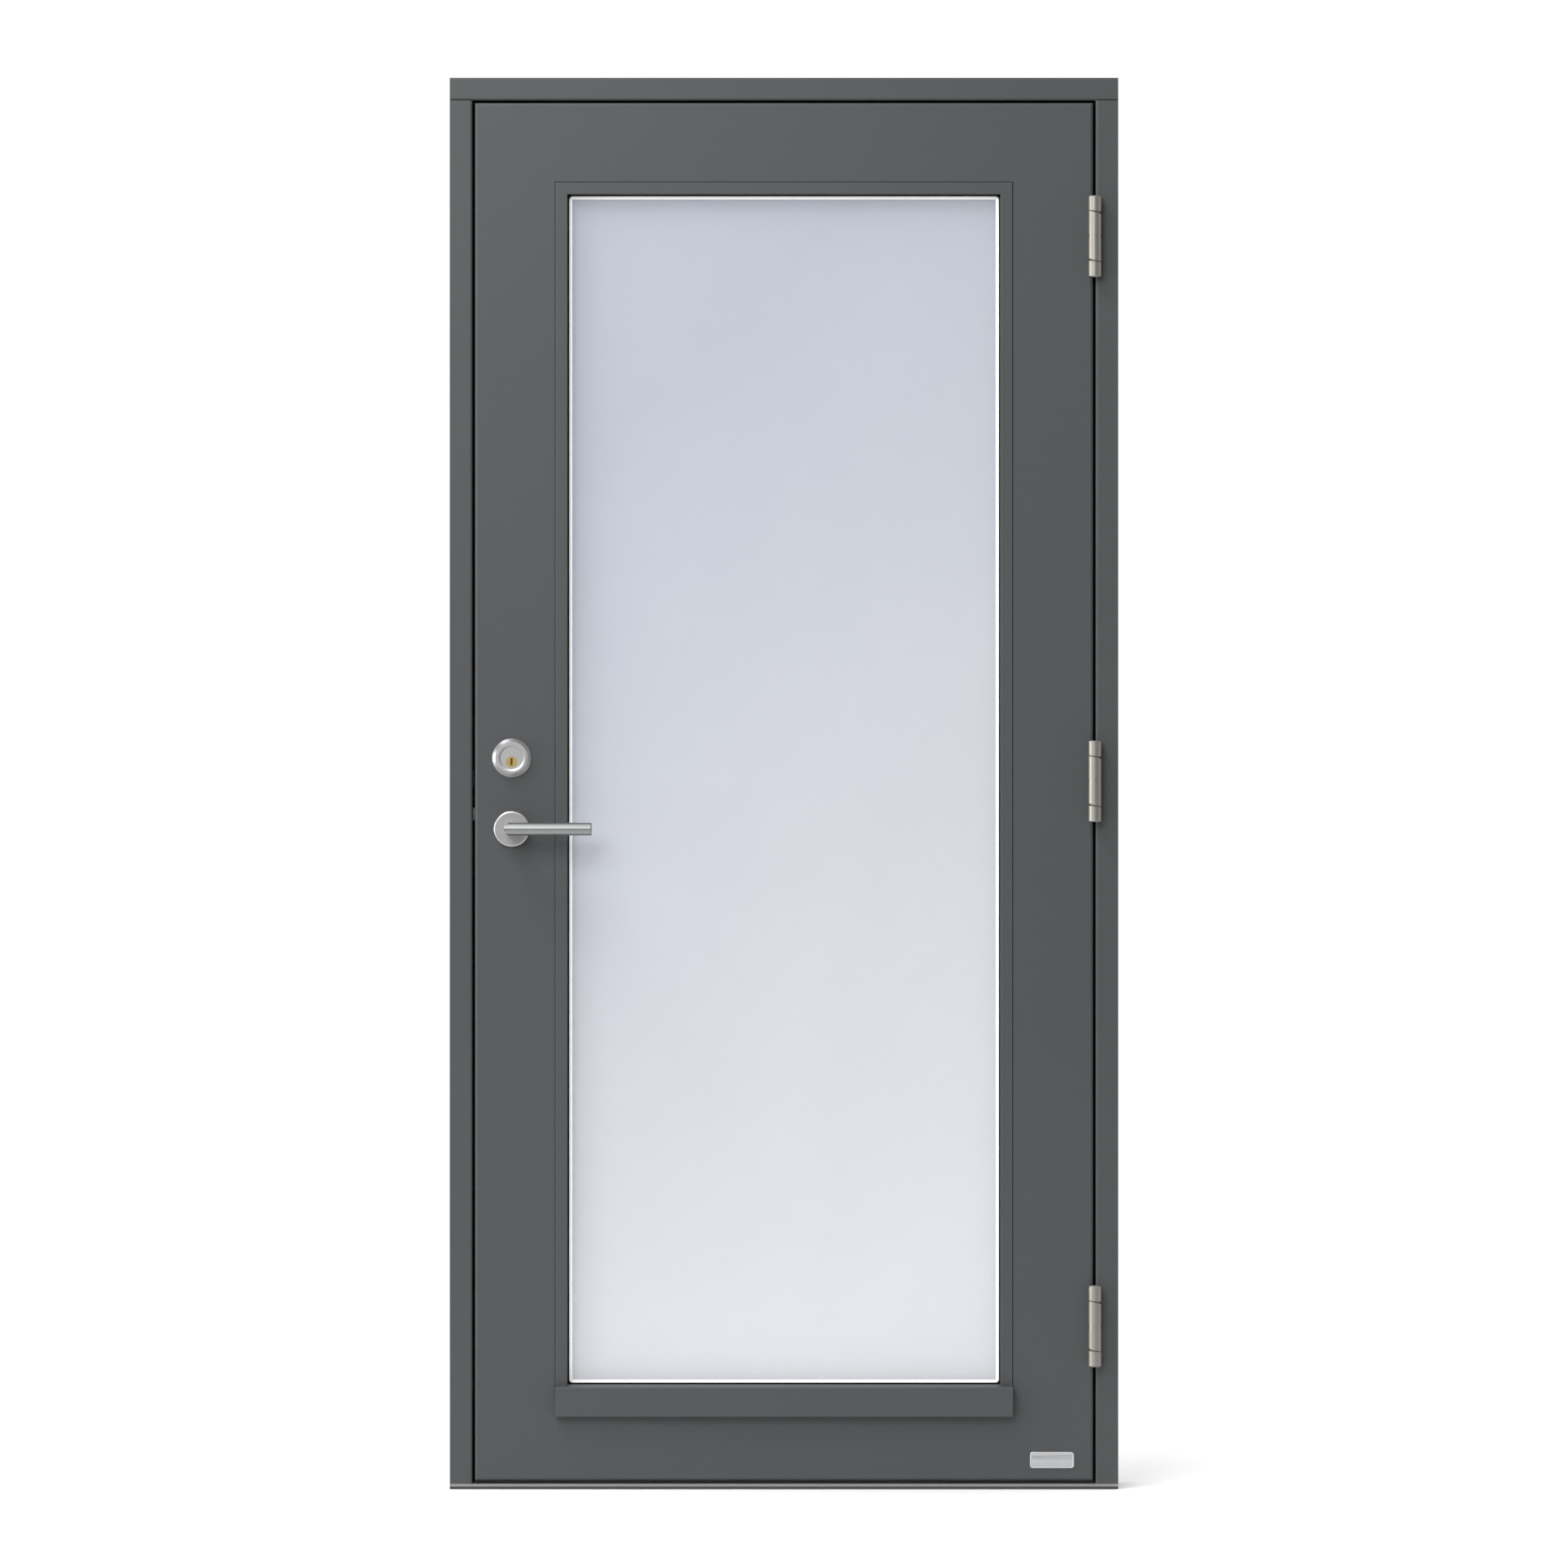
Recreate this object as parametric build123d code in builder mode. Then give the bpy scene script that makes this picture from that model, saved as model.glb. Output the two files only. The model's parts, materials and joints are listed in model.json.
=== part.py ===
"""A glazed entrance door hung in its own frame, without the wall.

Millimetres. X runs across the doorway, to the right seen from outside. The outside is towards -Y and +Z is
up. The origin is under the middle of the threshold, halfway through the frame's depth.
"""

import os
from math import cos, radians, sin

from build123d import *

os.makedirs("parts", exist_ok=True)

# Frame
frame_width = 990.0
frame_height = 2090.0
frame_depth = 105.0
frame_face = 33.5  # width of a jamb or the head, seen from outside
frame_inner_radius = 3.5  # front edge beside the leaf
frame_outer_radius = 2.0  # front edge beside the wall
stop_lip = 15.0  # how far the stop stands into the doorway
stop_gap = 4.0  # from the closed leaf to the stop

# Threshold
base_height = 3.7
plate_edge_height = 3.9  # front edge of the metal plate, also its height under the jambs
plate_height = 5.8
plate_slope_depth = 12.0
plate_channel_width = 16.0
plate_channel_height = 2.5
plate_channel_pitch = 21.0
upstand_height = 25.0

# Seal round the stop
seal_inset = 8.5  # from the edge of the doorway to the middle of the seal
seal_foot = 19.0  # height of the seal across the threshold
seal_bulb_width = 8.0
seal_bulb_gap = 0.3
seal_bulb_radius = 1.5
seal_stem_width = 2.6
seal_stem_depth = 5.5
seal_groove_clearance = 0.2

# Leaf
leaf_thickness = 62.0
leaf_gap = 3.5
leaf_lift = 3.0  # from the threshold plate to the leaf
leaf_edge_radius = 4.5
skin_thickness = 6.0
stile_width = 119.5
top_rail_height = 117.7
bottom_rail_height = 124.0

# Glazing
bead_reach = 17.8  # width of a bead
bead_proud = 0.5
bead_radius = 1.0
opening_bevel_width = 4.0  # bevel on the skin round the beads
opening_bevel_depth = 0.9
glass_thickness = 4.0
glass_cavity = 12.0
glass_edge_clearance = 7.0
gasket_thickness = 3.0
gasket_show = 2.2
gasket_cover = 9.0
gasket_corner_radius = 5.0
spacer_height = 9.5
edge_seal_height = 8.3
setting_block_length = 100.0
setting_block_inset = 120.0

# Weather bar under the glass
weather_bar_drop = 46.3
weather_bar_reach = 17.0
weather_bar_slope = 2.5
weather_bar_nose_radius = 2.0
drip_groove_radius = 1.8
drip_groove_inset = 5.0

# Hinges
hinge_foot_inset = 229.5  # from the foot of the leaf to the middle of the bottom hinge
hinge_top_inset = 199.0  # from the top of the leaf to the middle of the top hinge
hinge_length = 120.0
knuckle_radius = 9.9
knuckle_standoff = 0.6
knuckle_chamfer = 1.2
bearing_ring_height = 4.0
bearing_ring_radius = 9.6
bearing_ring_play = 0.1
pin_radius = 4.0
pin_clearance = 0.05
pin_end = 8.0
collar_length = 23.5  # from a knuckle's free end to its oblique groove
groove_depth = 1.5
groove_half_width = 1.3
groove_tilt = 9.0
groove_shift = 0.7
hinge_plate_thickness = 2.5
hinge_plate_proud = 0.5
hinge_plate_depth = 32.0
hinge_plate_length = 72.0
hinge_plate_clearance = 0.15
hinge_screw_pitch = 26.0
hinge_screw_shift = 2.0  # towards the inside, from the middle of the plate

# Screws
screw_head_radius = 3.8
screw_head_height = 2.2
screw_shank_radius = 2.0
screw_length = 26.0
screw_clearance = 0.1

# Lock
backset = 55.0
lever_height = 977.5
lock_spacing = 105.0  # from the lever's axis up to the cylinder's
face_plate_width = 24.0
face_plate_length = 235.0
face_plate_thickness = 3.0
face_plate_clearance = 0.15
face_plate_screw_inset = 9.0
lock_case_depth = 84.0
lock_case_inset = 22.5  # from an end of the face plate to the case
lock_case_thickness = 16.0
lock_case_wall = 1.5
lock_case_clearance = 0.3
latch_rise = 22.0  # above the lever's axis
latch_tall = 18.0
latch_thick = 11.0
latch_reach = 11.5
latch_tail = 33.0
dead_bolt_rise = 73.0  # above the lever's axis
dead_bolt_tall = 24.0
dead_bolt_thick = 11.0
dead_bolt_tail = 38.0
dead_bolt_throw = 20.0
bolt_clearance = 0.3
strike_thickness = 2.5
strike_width = 25.0
strike_play = 1.2  # round a bolt, in the strike and in the jamb
strike_depth_play = 3.0

# Handles
rose_radius = 26.6
rose_height = 8.0
rose_rim_radius = 2.5
rose_collar_radius = 13.2
rose_collar_height = 4.0
rose_bore_clearance = 0.3
lever_radius = 9.5
lever_length = 119.5  # from the turning axis to the free end
lever_reach = 52.0  # from the leaf to the middle of the grip
lever_edge_radius = 1.5
lever_tail = 5.0  # length of the neck inside the rose
spindle_width = 8.0
spindle_socket = 22.0
spindle_hole_radius = 10.0
hub_radius = 10.0
hub_length = 12.0

# Cylinder
cylinder_ring_radius = 28.75
cylinder_ring_edge = 2.5  # height of the upright outer edge
cylinder_flank_radius = 24.0  # where the flank meets the first step
cylinder_flank_height = 8.0
cylinder_step_radius = 23.2
cylinder_step_height = 9.2
cylinder_lip_radius = 21.8
cylinder_crest_radius = 19.6
cylinder_ring_height = 10.5
cylinder_bore_height = 10.0
cylinder_radius = 16.5
cylinder_clearance = 0.2
cylinder_face_inset = 1.2
plug_radius = 8.25
plug_drop = 5.7
plug_clearance = 0.05
plug_length = 28.0
keyway_height = 10.6
keyway_width = 3.0
keyway_depth = 22.0
turn_rose_radius = 26.6
turn_rose_height = 8.0
turn_shank_radius = 6.0
turn_knob_length = 34.0
turn_knob_width = 12.0
turn_knob_reach = 18.0
turn_bar_radius = 3.0

# Fixing holes through the jambs
fixing_hole_radius = 7.0
fixing_foot_inset = 150.0  # from the floor to the lowest hole
fixing_top_inset = 140.0  # from the top of the frame to the highest hole
fixing_count = 4

# Bare plate near the foot of the leaf
foot_plate_width = 65.3
foot_plate_height = 24.0
foot_plate_thickness = 1.2
foot_plate_radius = 4.5
foot_plate_side_inset = 28.5
foot_plate_foot_inset = 18.5

# Places worked out from the sizes
half_width = frame_width / 2
y_front = -frame_depth / 2
y_back = frame_depth / 2
y_inside = y_front + leaf_thickness
y_stop = y_inside + stop_gap
door_half = half_width - frame_face
stop_half = door_half - stop_lip
head_under = frame_height - frame_face
jamb_foot = base_height + plate_edge_height
plate_top = base_height + plate_height
leaf_half = door_half - leaf_gap
leaf_top = head_under - leaf_gap
leaf_foot = plate_top + leaf_lift
core_front = y_front + skin_thickness
core_back = y_inside - skin_thickness
glass_half = leaf_half - stile_width
glass_top = leaf_top - top_rail_height
glass_foot = leaf_foot + bottom_rail_height
unit_thickness = 3 * glass_thickness + 2 * glass_cavity
y_middle = (y_front + y_inside) / 2
unit_front = y_middle - unit_thickness / 2
unit_back = y_middle + unit_thickness / 2
lock_x = -leaf_half + backset
cylinder_height = lever_height + lock_spacing
latch_height = lever_height + latch_rise
dead_bolt_height = lever_height + dead_bolt_rise
plug_height = cylinder_height - plug_drop
hinge_x = (leaf_half + door_half) / 2
hinge_y = y_front - knuckle_radius - knuckle_standoff
hinge_bottom = leaf_foot + hinge_foot_inset
hinge_top = leaf_top - hinge_top_inset
hinge_heights = {"bottom": hinge_bottom, "middle": (hinge_bottom + hinge_top) / 2, "top": hinge_top}
fixing_pitch = (frame_height - fixing_top_inset - fixing_foot_inset) / (fixing_count - 1)
face_plate_middle = (latch_height + dead_bolt_height) / 2
grown = 1.0  # how far a cutter runs past a face
near = 0.01  # how close two places count as the same


def save(part, name):
    """Label a finished piece and write its file."""
    part.label = name
    export_step(part, f"parts/{name}.step")


def span(middle, size, clearance=0.0):
    """Low and high ends of a length about its middle."""
    return (middle - size / 2 - clearance, middle + size / 2 + clearance)


def block(x_span, y_span, z_span, mode=Mode.ADD):
    """A square-cut block between a low and a high value on each axis."""
    spans = (x_span, y_span, z_span)
    with Locations(tuple(sum(ends) / 2 for ends in spans)):
        Box(*(high - low for low, high in spans), mode=mode)


def opening(offset):
    """Half width, foot and top of the glazed opening, grown by an offset."""
    return (glass_half + offset, glass_foot - offset, glass_top + offset)


def ring(outer, width, y_span, corner_radius=0.0, mode=Mode.ADD):
    """A flat rectangular ring seen from outside, from its outer half width, foot and top."""
    half, foot, top = outer
    inner_size = (2 * (half - width), top - foot - 2 * width)
    with BuildSketch(Plane.XZ.offset(-y_span[1])) as outline:
        with Locations((0, (foot + top) / 2)):
            Rectangle(2 * half, top - foot)
            if corner_radius:
                RectangleRounded(*inner_size, corner_radius, mode=Mode.SUBTRACT)
            else:
                Rectangle(*inner_size, mode=Mode.SUBTRACT)
    extrude(outline.sketch, amount=y_span[1] - y_span[0], mode=mode)


def rod(x, z, radius, y_span, mode=Mode.ADD):
    """A round bar or hole through the leaf's thickness."""
    with BuildSketch(Plane.XZ.offset(-y_span[1])) as outline:
        with Locations((x, z)):
            Circle(radius)
    extrude(outline.sketch, amount=y_span[1] - y_span[0], mode=mode)


def screws(spots, direction, clearance=0.0, mode=Mode.ADD):
    """Countersunk screws with their heads flush at the spots."""
    low = (Align.CENTER, Align.CENTER, Align.MIN)
    for spot in spots:
        with Locations(Plane(origin=spot, z_dir=direction)):
            Cone(
                screw_head_radius + clearance,
                screw_shank_radius + clearance,
                screw_head_height,
                align=low,
                mode=mode,
            )
            Cylinder(screw_shank_radius + clearance, screw_length + clearance, align=low, mode=mode)


def cut_seal_groove():
    """The groove round the stop that holds the seal's stem."""
    stem = seal_stem_width / 2 + seal_groove_clearance
    outer = (
        door_half - seal_inset + stem,
        seal_foot - stem,
        head_under - seal_inset + stem,
    )
    depth = y_stop + seal_stem_depth + seal_groove_clearance
    ring(outer, 2 * stem, (y_stop - grown, depth), mode=Mode.SUBTRACT)


def cut_hinge_recesses(side):
    """Recesses for the hinge plates: side is -1 in the leaf's edge and 1 in the jamb."""
    face = leaf_half if side < 0 else door_half
    sunk = hinge_plate_thickness - hinge_plate_proud
    x_ends = sorted((face + side * (sunk + hinge_plate_clearance), face - side * grown))
    y_ends = (y_front - grown, y_front + hinge_plate_depth + hinge_plate_clearance)
    for middle in hinge_heights.values():
        block(x_ends, y_ends, span(middle, hinge_plate_length, hinge_plate_clearance), mode=Mode.SUBTRACT)


def hinge_screw_spots(side):
    """Screw places on the visible faces of the hinge plates."""
    face = leaf_half + hinge_plate_proud if side < 0 else door_half - hinge_plate_proud
    depth = y_front + hinge_plate_depth / 2 + hinge_screw_shift
    return [
        (face, depth, middle + step * hinge_screw_pitch)
        for middle in hinge_heights.values()
        for step in (-1, 0, 1)
    ]


leaf_screw_spots = hinge_screw_spots(-1)
frame_screw_spots = hinge_screw_spots(1)
face_plate_screw_spots = [
    (-leaf_half, y_middle, face_plate_middle + side * (face_plate_length / 2 - face_plate_screw_inset))
    for side in (-1, 1)
]
strike_screw_spots = [(-door_half, y, z) for _, y, z in face_plate_screw_spots]
bolt_shapes = (
    (latch_height, latch_tall, latch_thick, latch_reach),
    (dead_bolt_height, dead_bolt_tall, dead_bolt_thick, dead_bolt_throw),
)


# Frame head, full width over both jambs
with BuildPart() as frame_head:
    block((-half_width, half_width), (y_front, y_back), (head_under, frame_height))
    front_edges = frame_head.edges().filter_by(Axis.X).group_by(Axis.Y)[0].sort_by(Axis.Z)
    fillet(front_edges[0], frame_inner_radius)
    fillet(front_edges[-1], frame_outer_radius)
    block((-stop_half, stop_half), (y_stop, y_back), (head_under - stop_lip, head_under))
    cut_seal_groove()
save(frame_head.part, "frame_head")


def jamb_profile(side):
    """Section of a jamb seen from above, with its stop behind the leaf."""
    with BuildSketch(Plane.XY.offset(jamb_foot)) as section:
        with BuildLine():
            Polyline(
                (side * half_width, y_front),
                (side * door_half, y_front),
                (side * door_half, y_stop),
                (side * stop_half, y_stop),
                (side * stop_half, y_back),
                (side * half_width, y_back),
                close=True,
            )
        make_face()
        front_corners = section.vertices().group_by(Axis.Y)[0].sort_by(lambda corner: abs(corner.X))
        fillet(front_corners[0], frame_inner_radius)
        fillet(front_corners[-1], frame_outer_radius)
    return section.sketch


def cut_fixing_holes(side):
    """Holes across a jamb, between the leaf's edge and the wall."""
    direction = (side, 0, 0)
    for order in range(fixing_count):
        start = (side * (door_half - grown), y_middle, fixing_foot_inset + order * fixing_pitch)
        with Locations(Plane(origin=start, z_dir=direction)):
            Cylinder(
                fixing_hole_radius,
                frame_face + 2 * grown,
                align=(Align.CENTER, Align.CENTER, Align.MIN),
                mode=Mode.SUBTRACT,
            )


# Lock-side jamb, with pockets for both bolts
with BuildPart() as lock_jamb:
    extrude(jamb_profile(-1), amount=head_under - jamb_foot)
    cut_seal_groove()
    cut_fixing_holes(-1)
    block(
        (-door_half - strike_thickness - face_plate_clearance, -door_half + grown),
        span(y_middle, strike_width, face_plate_clearance),
        span(face_plate_middle, face_plate_length, face_plate_clearance),
        mode=Mode.SUBTRACT,
    )
    for height, tall, thick, reach in bolt_shapes:
        block(
            (-leaf_half - reach - strike_depth_play, -door_half),
            span(y_middle, thick, strike_play),
            span(height, tall, strike_play),
            mode=Mode.SUBTRACT,
        )
    screws(strike_screw_spots, (-1, 0, 0), screw_clearance, Mode.SUBTRACT)
save(lock_jamb.part, "lock_jamb")

# Hinge-side jamb
with BuildPart() as hinge_jamb:
    extrude(jamb_profile(1), amount=head_under - jamb_foot)
    cut_seal_groove()
    cut_fixing_holes(1)
    cut_hinge_recesses(1)
    screws(frame_screw_spots, (1, 0, 0), screw_clearance, Mode.SUBTRACT)
save(hinge_jamb.part, "hinge_jamb")


def notch_under_jambs():
    """Lower the ends of the threshold to the height that the jambs stand on."""
    for side in (-1, 1):
        for inner, depths in ((door_half, (y_front - grown, y_stop)), (stop_half, (y_stop, y_back + grown))):
            x_ends = sorted((side * inner, side * (half_width + grown)))
            block(x_ends, depths, (jamb_foot, upstand_height + grown), mode=Mode.SUBTRACT)


# Threshold base, with its upstand behind the leaf
with BuildPart() as threshold_base:
    block((-half_width, half_width), (y_front, y_back), (0, base_height))
    block((-half_width, half_width), (y_stop, y_back), (base_height, upstand_height))
    cut_seal_groove()
    notch_under_jambs()
save(threshold_base.part, "threshold_base")

# Metal plate that the leaf closes over
with BuildPart() as threshold_plate:
    with BuildSketch(Plane.YZ.offset(-half_width)):
        with BuildLine():
            Polyline(
                (y_front, base_height),
                (y_front, jamb_foot),
                (y_front + plate_slope_depth, plate_top),
                (y_stop, plate_top),
                (y_stop, base_height),
                close=True,
            )
        make_face()
    extrude(amount=frame_width)
    for step in (-1, 0, 1):
        middle = (y_front + y_stop) / 2 + step * plate_channel_pitch
        block(
            (-half_width - grown, half_width + grown),
            span(middle, plate_channel_width),
            (base_height - grown, base_height + plate_channel_height),
            mode=Mode.SUBTRACT,
        )
    notch_under_jambs()
save(threshold_plate.part, "threshold_plate")

# One seal round all four sides of the stop
with BuildPart() as frame_seal:
    for width, y_ends, radius in (
        (seal_bulb_width, (y_inside + seal_bulb_gap, y_stop), seal_bulb_radius),
        (seal_stem_width, (y_stop, y_stop + seal_stem_depth), 0.0),
    ):
        seal_outer = (
            door_half - seal_inset + width / 2,
            seal_foot - width / 2,
            head_under - seal_inset + width / 2,
        )
        ring(seal_outer, width, y_ends)
        if radius:
            fillet(frame_seal.faces().sort_by(Axis.Y)[0].edges(), radius)
save(frame_seal.part, "frame_seal")

# Strike plate, let into the lock-side jamb
with BuildPart() as strike_plate:
    block(
        (-door_half - strike_thickness, -door_half),
        span(y_middle, strike_width),
        span(face_plate_middle, face_plate_length),
    )
    fillet(strike_plate.edges().filter_by(Axis.X), strike_thickness)
    for height, tall, thick, _ in bolt_shapes:
        block(
            (-door_half - strike_thickness - grown, -door_half + grown),
            span(y_middle, thick, strike_play),
            span(height, tall, strike_play),
            mode=Mode.SUBTRACT,
        )
    screws(strike_screw_spots, (-1, 0, 0), screw_clearance, Mode.SUBTRACT)
save(strike_plate.part, "strike_plate")

for group_name, spots, direction in (
    ("strike_screws", strike_screw_spots, (-1, 0, 0)),
    ("face_plate_screws", face_plate_screw_spots, (1, 0, 0)),
    ("leaf_hinge_screws", leaf_screw_spots, (-1, 0, 0)),
    ("frame_hinge_screws", frame_screw_spots, (1, 0, 0)),
):
    with BuildPart() as screw_group:
        screws(spots, direction)
    save(screw_group.part, group_name)


def hinge_half(middle, side):
    """One half of a hinge: side is 1 for the upper, leaf half and -1 for the lower, frame half."""
    face = leaf_half if side > 0 else door_half
    sunk = hinge_plate_thickness - hinge_plate_proud
    x_ends = sorted((face - side * sunk, face + side * hinge_plate_proud))
    inner_end = middle + side * (bearing_ring_height / 2)
    free_end = middle + side * hinge_length / 2
    tilt = radians(groove_tilt)
    groove_centre = (hinge_x - side * groove_shift, hinge_y, free_end - side * collar_length)
    with BuildPart() as half:
        with BuildSketch(Plane.XY.offset(min(inner_end, free_end))):
            with Locations((hinge_x, hinge_y)):
                Circle(knuckle_radius)
        extrude(amount=abs(free_end - inner_end))
        ends = half.edges().filter_by(GeomType.CIRCLE)
        chamfer(ends.group_by(Axis.Z)[-1 if side > 0 else 0], knuckle_chamfer)
        with BuildSketch(Plane(groove_centre, x_dir=(cos(tilt), 0, -sin(tilt)), z_dir=(0, -1, 0))):
            Polygon(
                (knuckle_radius - groove_depth, 0),
                (knuckle_radius + groove_depth, 2 * groove_half_width),
                (knuckle_radius + groove_depth, -2 * groove_half_width),
                align=None,
            )
        revolve(axis=Axis(groove_centre, (sin(tilt), 0, cos(tilt))), mode=Mode.SUBTRACT)
        own_half = sorted((inner_end, middle + side * hinge_plate_length / 2))
        block(x_ends, (hinge_y, y_front + grown), own_half)
        block(x_ends, (y_front + grown, y_front + hinge_plate_depth), span(middle, hinge_plate_length))
        with Locations((hinge_x, hinge_y, middle)):
            Cylinder(
                pin_radius + pin_clearance,
                hinge_length - 2 * pin_end + 2 * pin_clearance,
                mode=Mode.SUBTRACT,
            )
        spots = leaf_screw_spots if side > 0 else frame_screw_spots
        screws(spots, (-side, 0, 0), screw_clearance, Mode.SUBTRACT)
    return half.part


for place, middle in hinge_heights.items():
    save(hinge_half(middle, 1), f"leaf_hinge_{place}")
    save(hinge_half(middle, -1), f"frame_hinge_{place}")

with BuildPart() as hinge_pins:
    with Locations(*[(hinge_x, hinge_y, middle) for middle in hinge_heights.values()]):
        Cylinder(pin_radius, hinge_length - 2 * pin_end)
save(hinge_pins.part, "hinge_pins")

with BuildPart() as bearing_rings:
    for middle in hinge_heights.values():
        foot = middle - bearing_ring_height / 2
        with BuildSketch(Plane.XY.offset(foot)):
            with Locations((hinge_x, hinge_y)):
                Circle(bearing_ring_radius)
                Circle(pin_radius + pin_clearance, mode=Mode.SUBTRACT)
        extrude(amount=bearing_ring_height - bearing_ring_play)
save(bearing_rings.part, "hinge_bearing_rings")


def on_opening(depth):
    """Picks the edges of the glazed opening that lie at one depth."""
    half, foot, top = opening(0)

    def picked(edge):
        centre = edge.center()
        inside = abs(centre.X) <= half + near and foot - near <= centre.Z <= top + near
        return inside and abs(centre.Y - depth) < near

    return picked


def face_at(sheet, outer_face):
    """The flat shown face of a sheet."""
    return sheet.faces().filter_by(Axis.Y).sort_by(Axis.Y)[0 if outer_face else -1]


def leaf_sheet(y_ends, outer_face):
    """One face sheet of the leaf, rounded round its outer edge and open at the glass."""
    with BuildPart() as sheet:
        with BuildSketch(Plane.XZ.offset(-y_ends[1])):
            with Locations((0, (leaf_foot + leaf_top) / 2)):
                Rectangle(2 * leaf_half, leaf_top - leaf_foot)
        extrude(amount=skin_thickness)
        face = sheet.faces().sort_by(Axis.Y)[0 if outer_face else -1]
        fillet(face.edges(), leaf_edge_radius)
        half, foot, top = opening(0)
        through = (y_ends[0] - grown, y_ends[1] + grown)
        block((-half, half), through, (foot, top), mode=Mode.SUBTRACT)
        shown = y_ends[0] if outer_face else y_ends[1]
        mouth = sheet.edges().filter_by(GeomType.LINE).filter_by(on_opening(shown))
        chamfer(mouth, opening_bevel_depth, opening_bevel_width, reference=face_at(sheet, outer_face))
        rod(lock_x, lever_height, spindle_hole_radius, through, Mode.SUBTRACT)
        if outer_face:
            rod(lock_x, cylinder_height, cylinder_radius + cylinder_clearance, through, Mode.SUBTRACT)
            cut_hinge_recesses(-1)
        else:
            bar_hole = turn_shank_radius + cylinder_clearance
            rod(lock_x, cylinder_height, bar_hole, through, Mode.SUBTRACT)
    return sheet.part


save(leaf_sheet((y_front, core_front), True), "outer_skin")
save(leaf_sheet((core_back, y_inside), False), "inner_skin")

# Places inside the lock
case_front = y_middle - lock_case_thickness / 2
case_back = y_middle + lock_case_thickness / 2
case_edge = -leaf_half + face_plate_thickness
case_x = (case_edge, case_edge + lock_case_depth)
lock_case_height = face_plate_length - 2 * lock_case_inset
case_z = span(face_plate_middle, lock_case_height)

# Lock stile, with the mortise for the lock
with BuildPart() as lock_stile:
    block((-leaf_half, -glass_half), (core_front, core_back), (leaf_foot, leaf_top))
    block(
        (case_edge - grown, case_x[1] + lock_case_clearance),
        span(y_middle, lock_case_thickness, lock_case_clearance),
        span(face_plate_middle, lock_case_height, lock_case_clearance),
        mode=Mode.SUBTRACT,
    )
    block(
        (-leaf_half - grown, case_edge),
        span(y_middle, face_plate_width, face_plate_clearance),
        span(face_plate_middle, face_plate_length, face_plate_clearance),
        mode=Mode.SUBTRACT,
    )
    rod(lock_x, lever_height, spindle_hole_radius, (core_front - grown, core_back + grown), Mode.SUBTRACT)
    cylinder_hole = cylinder_radius + cylinder_clearance
    rod(lock_x, cylinder_height, cylinder_hole, (core_front - grown, y_middle), Mode.SUBTRACT)
    bar_hole = turn_shank_radius + cylinder_clearance
    rod(lock_x, cylinder_height, bar_hole, (y_middle, core_back + grown), Mode.SUBTRACT)
    screws(face_plate_screw_spots, (1, 0, 0), screw_clearance, Mode.SUBTRACT)
save(lock_stile.part, "lock_stile")

with BuildPart() as hinge_stile:
    block((glass_half, leaf_half), (core_front, core_back), (leaf_foot, leaf_top))
    cut_hinge_recesses(-1)
    screws(leaf_screw_spots, (-1, 0, 0), screw_clearance, Mode.SUBTRACT)
save(hinge_stile.part, "hinge_stile")

with BuildPart() as top_rail:
    block((-glass_half, glass_half), (core_front, core_back), (glass_top, leaf_top))
save(top_rail.part, "top_rail")

with BuildPart() as bottom_rail:
    block((-glass_half, glass_half), (core_front, core_back), (leaf_foot, glass_foot))
save(bottom_rail.part, "bottom_rail")


def bead_outline(place, foot_cut):
    """Corners of one bead seen from outside, mitred where it meets the next one."""
    half, foot, top = opening(0)
    inner_half, inner_foot, inner_top = opening(-bead_reach)
    if place == "top":
        return [(-half, top), (half, top), (inner_half, inner_top), (-inner_half, inner_top)]
    if place == "bottom":
        return [(-half, foot), (half, foot), (inner_half, inner_foot), (-inner_half, inner_foot)]
    side = -1 if place == "lock_side" else 1
    outer_end = foot_cut if foot_cut else foot
    inner_end = foot_cut if foot_cut else inner_foot
    return [
        (side * half, top),
        (side * inner_half, inner_top),
        (side * inner_half, inner_end),
        (side * half, outer_end),
    ]


def glazing_bead(place, outside, foot_cut=None):
    """A bead that holds the glass, a little proud of the skin and rounded along its front."""
    if outside:
        low, high = y_front - bead_proud, unit_front - gasket_thickness
    else:
        low, high = unit_back + gasket_thickness, y_inside + bead_proud
    along = Axis.X if place in ("top", "bottom") else Axis.Z
    with BuildPart() as bead:
        with BuildSketch(Plane.XZ.offset(-high)):
            Polygon(*bead_outline(place, foot_cut), align=None)
        extrude(amount=high - low)
        shown = bead.edges().filter_by(along).group_by(Axis.Y)[0 if outside else -1]
        fillet(shown, bead_radius)
    return bead.part


weather_bar_top = glass_foot + bead_reach
for place in ("top", "lock_side", "hinge_side"):
    cut = None if place == "top" else weather_bar_top
    save(glazing_bead(place, True, cut), f"outer_bead_{place}")
for place in ("top", "bottom", "lock_side", "hinge_side"):
    save(glazing_bead(place, False), f"inner_bead_{place}")

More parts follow.
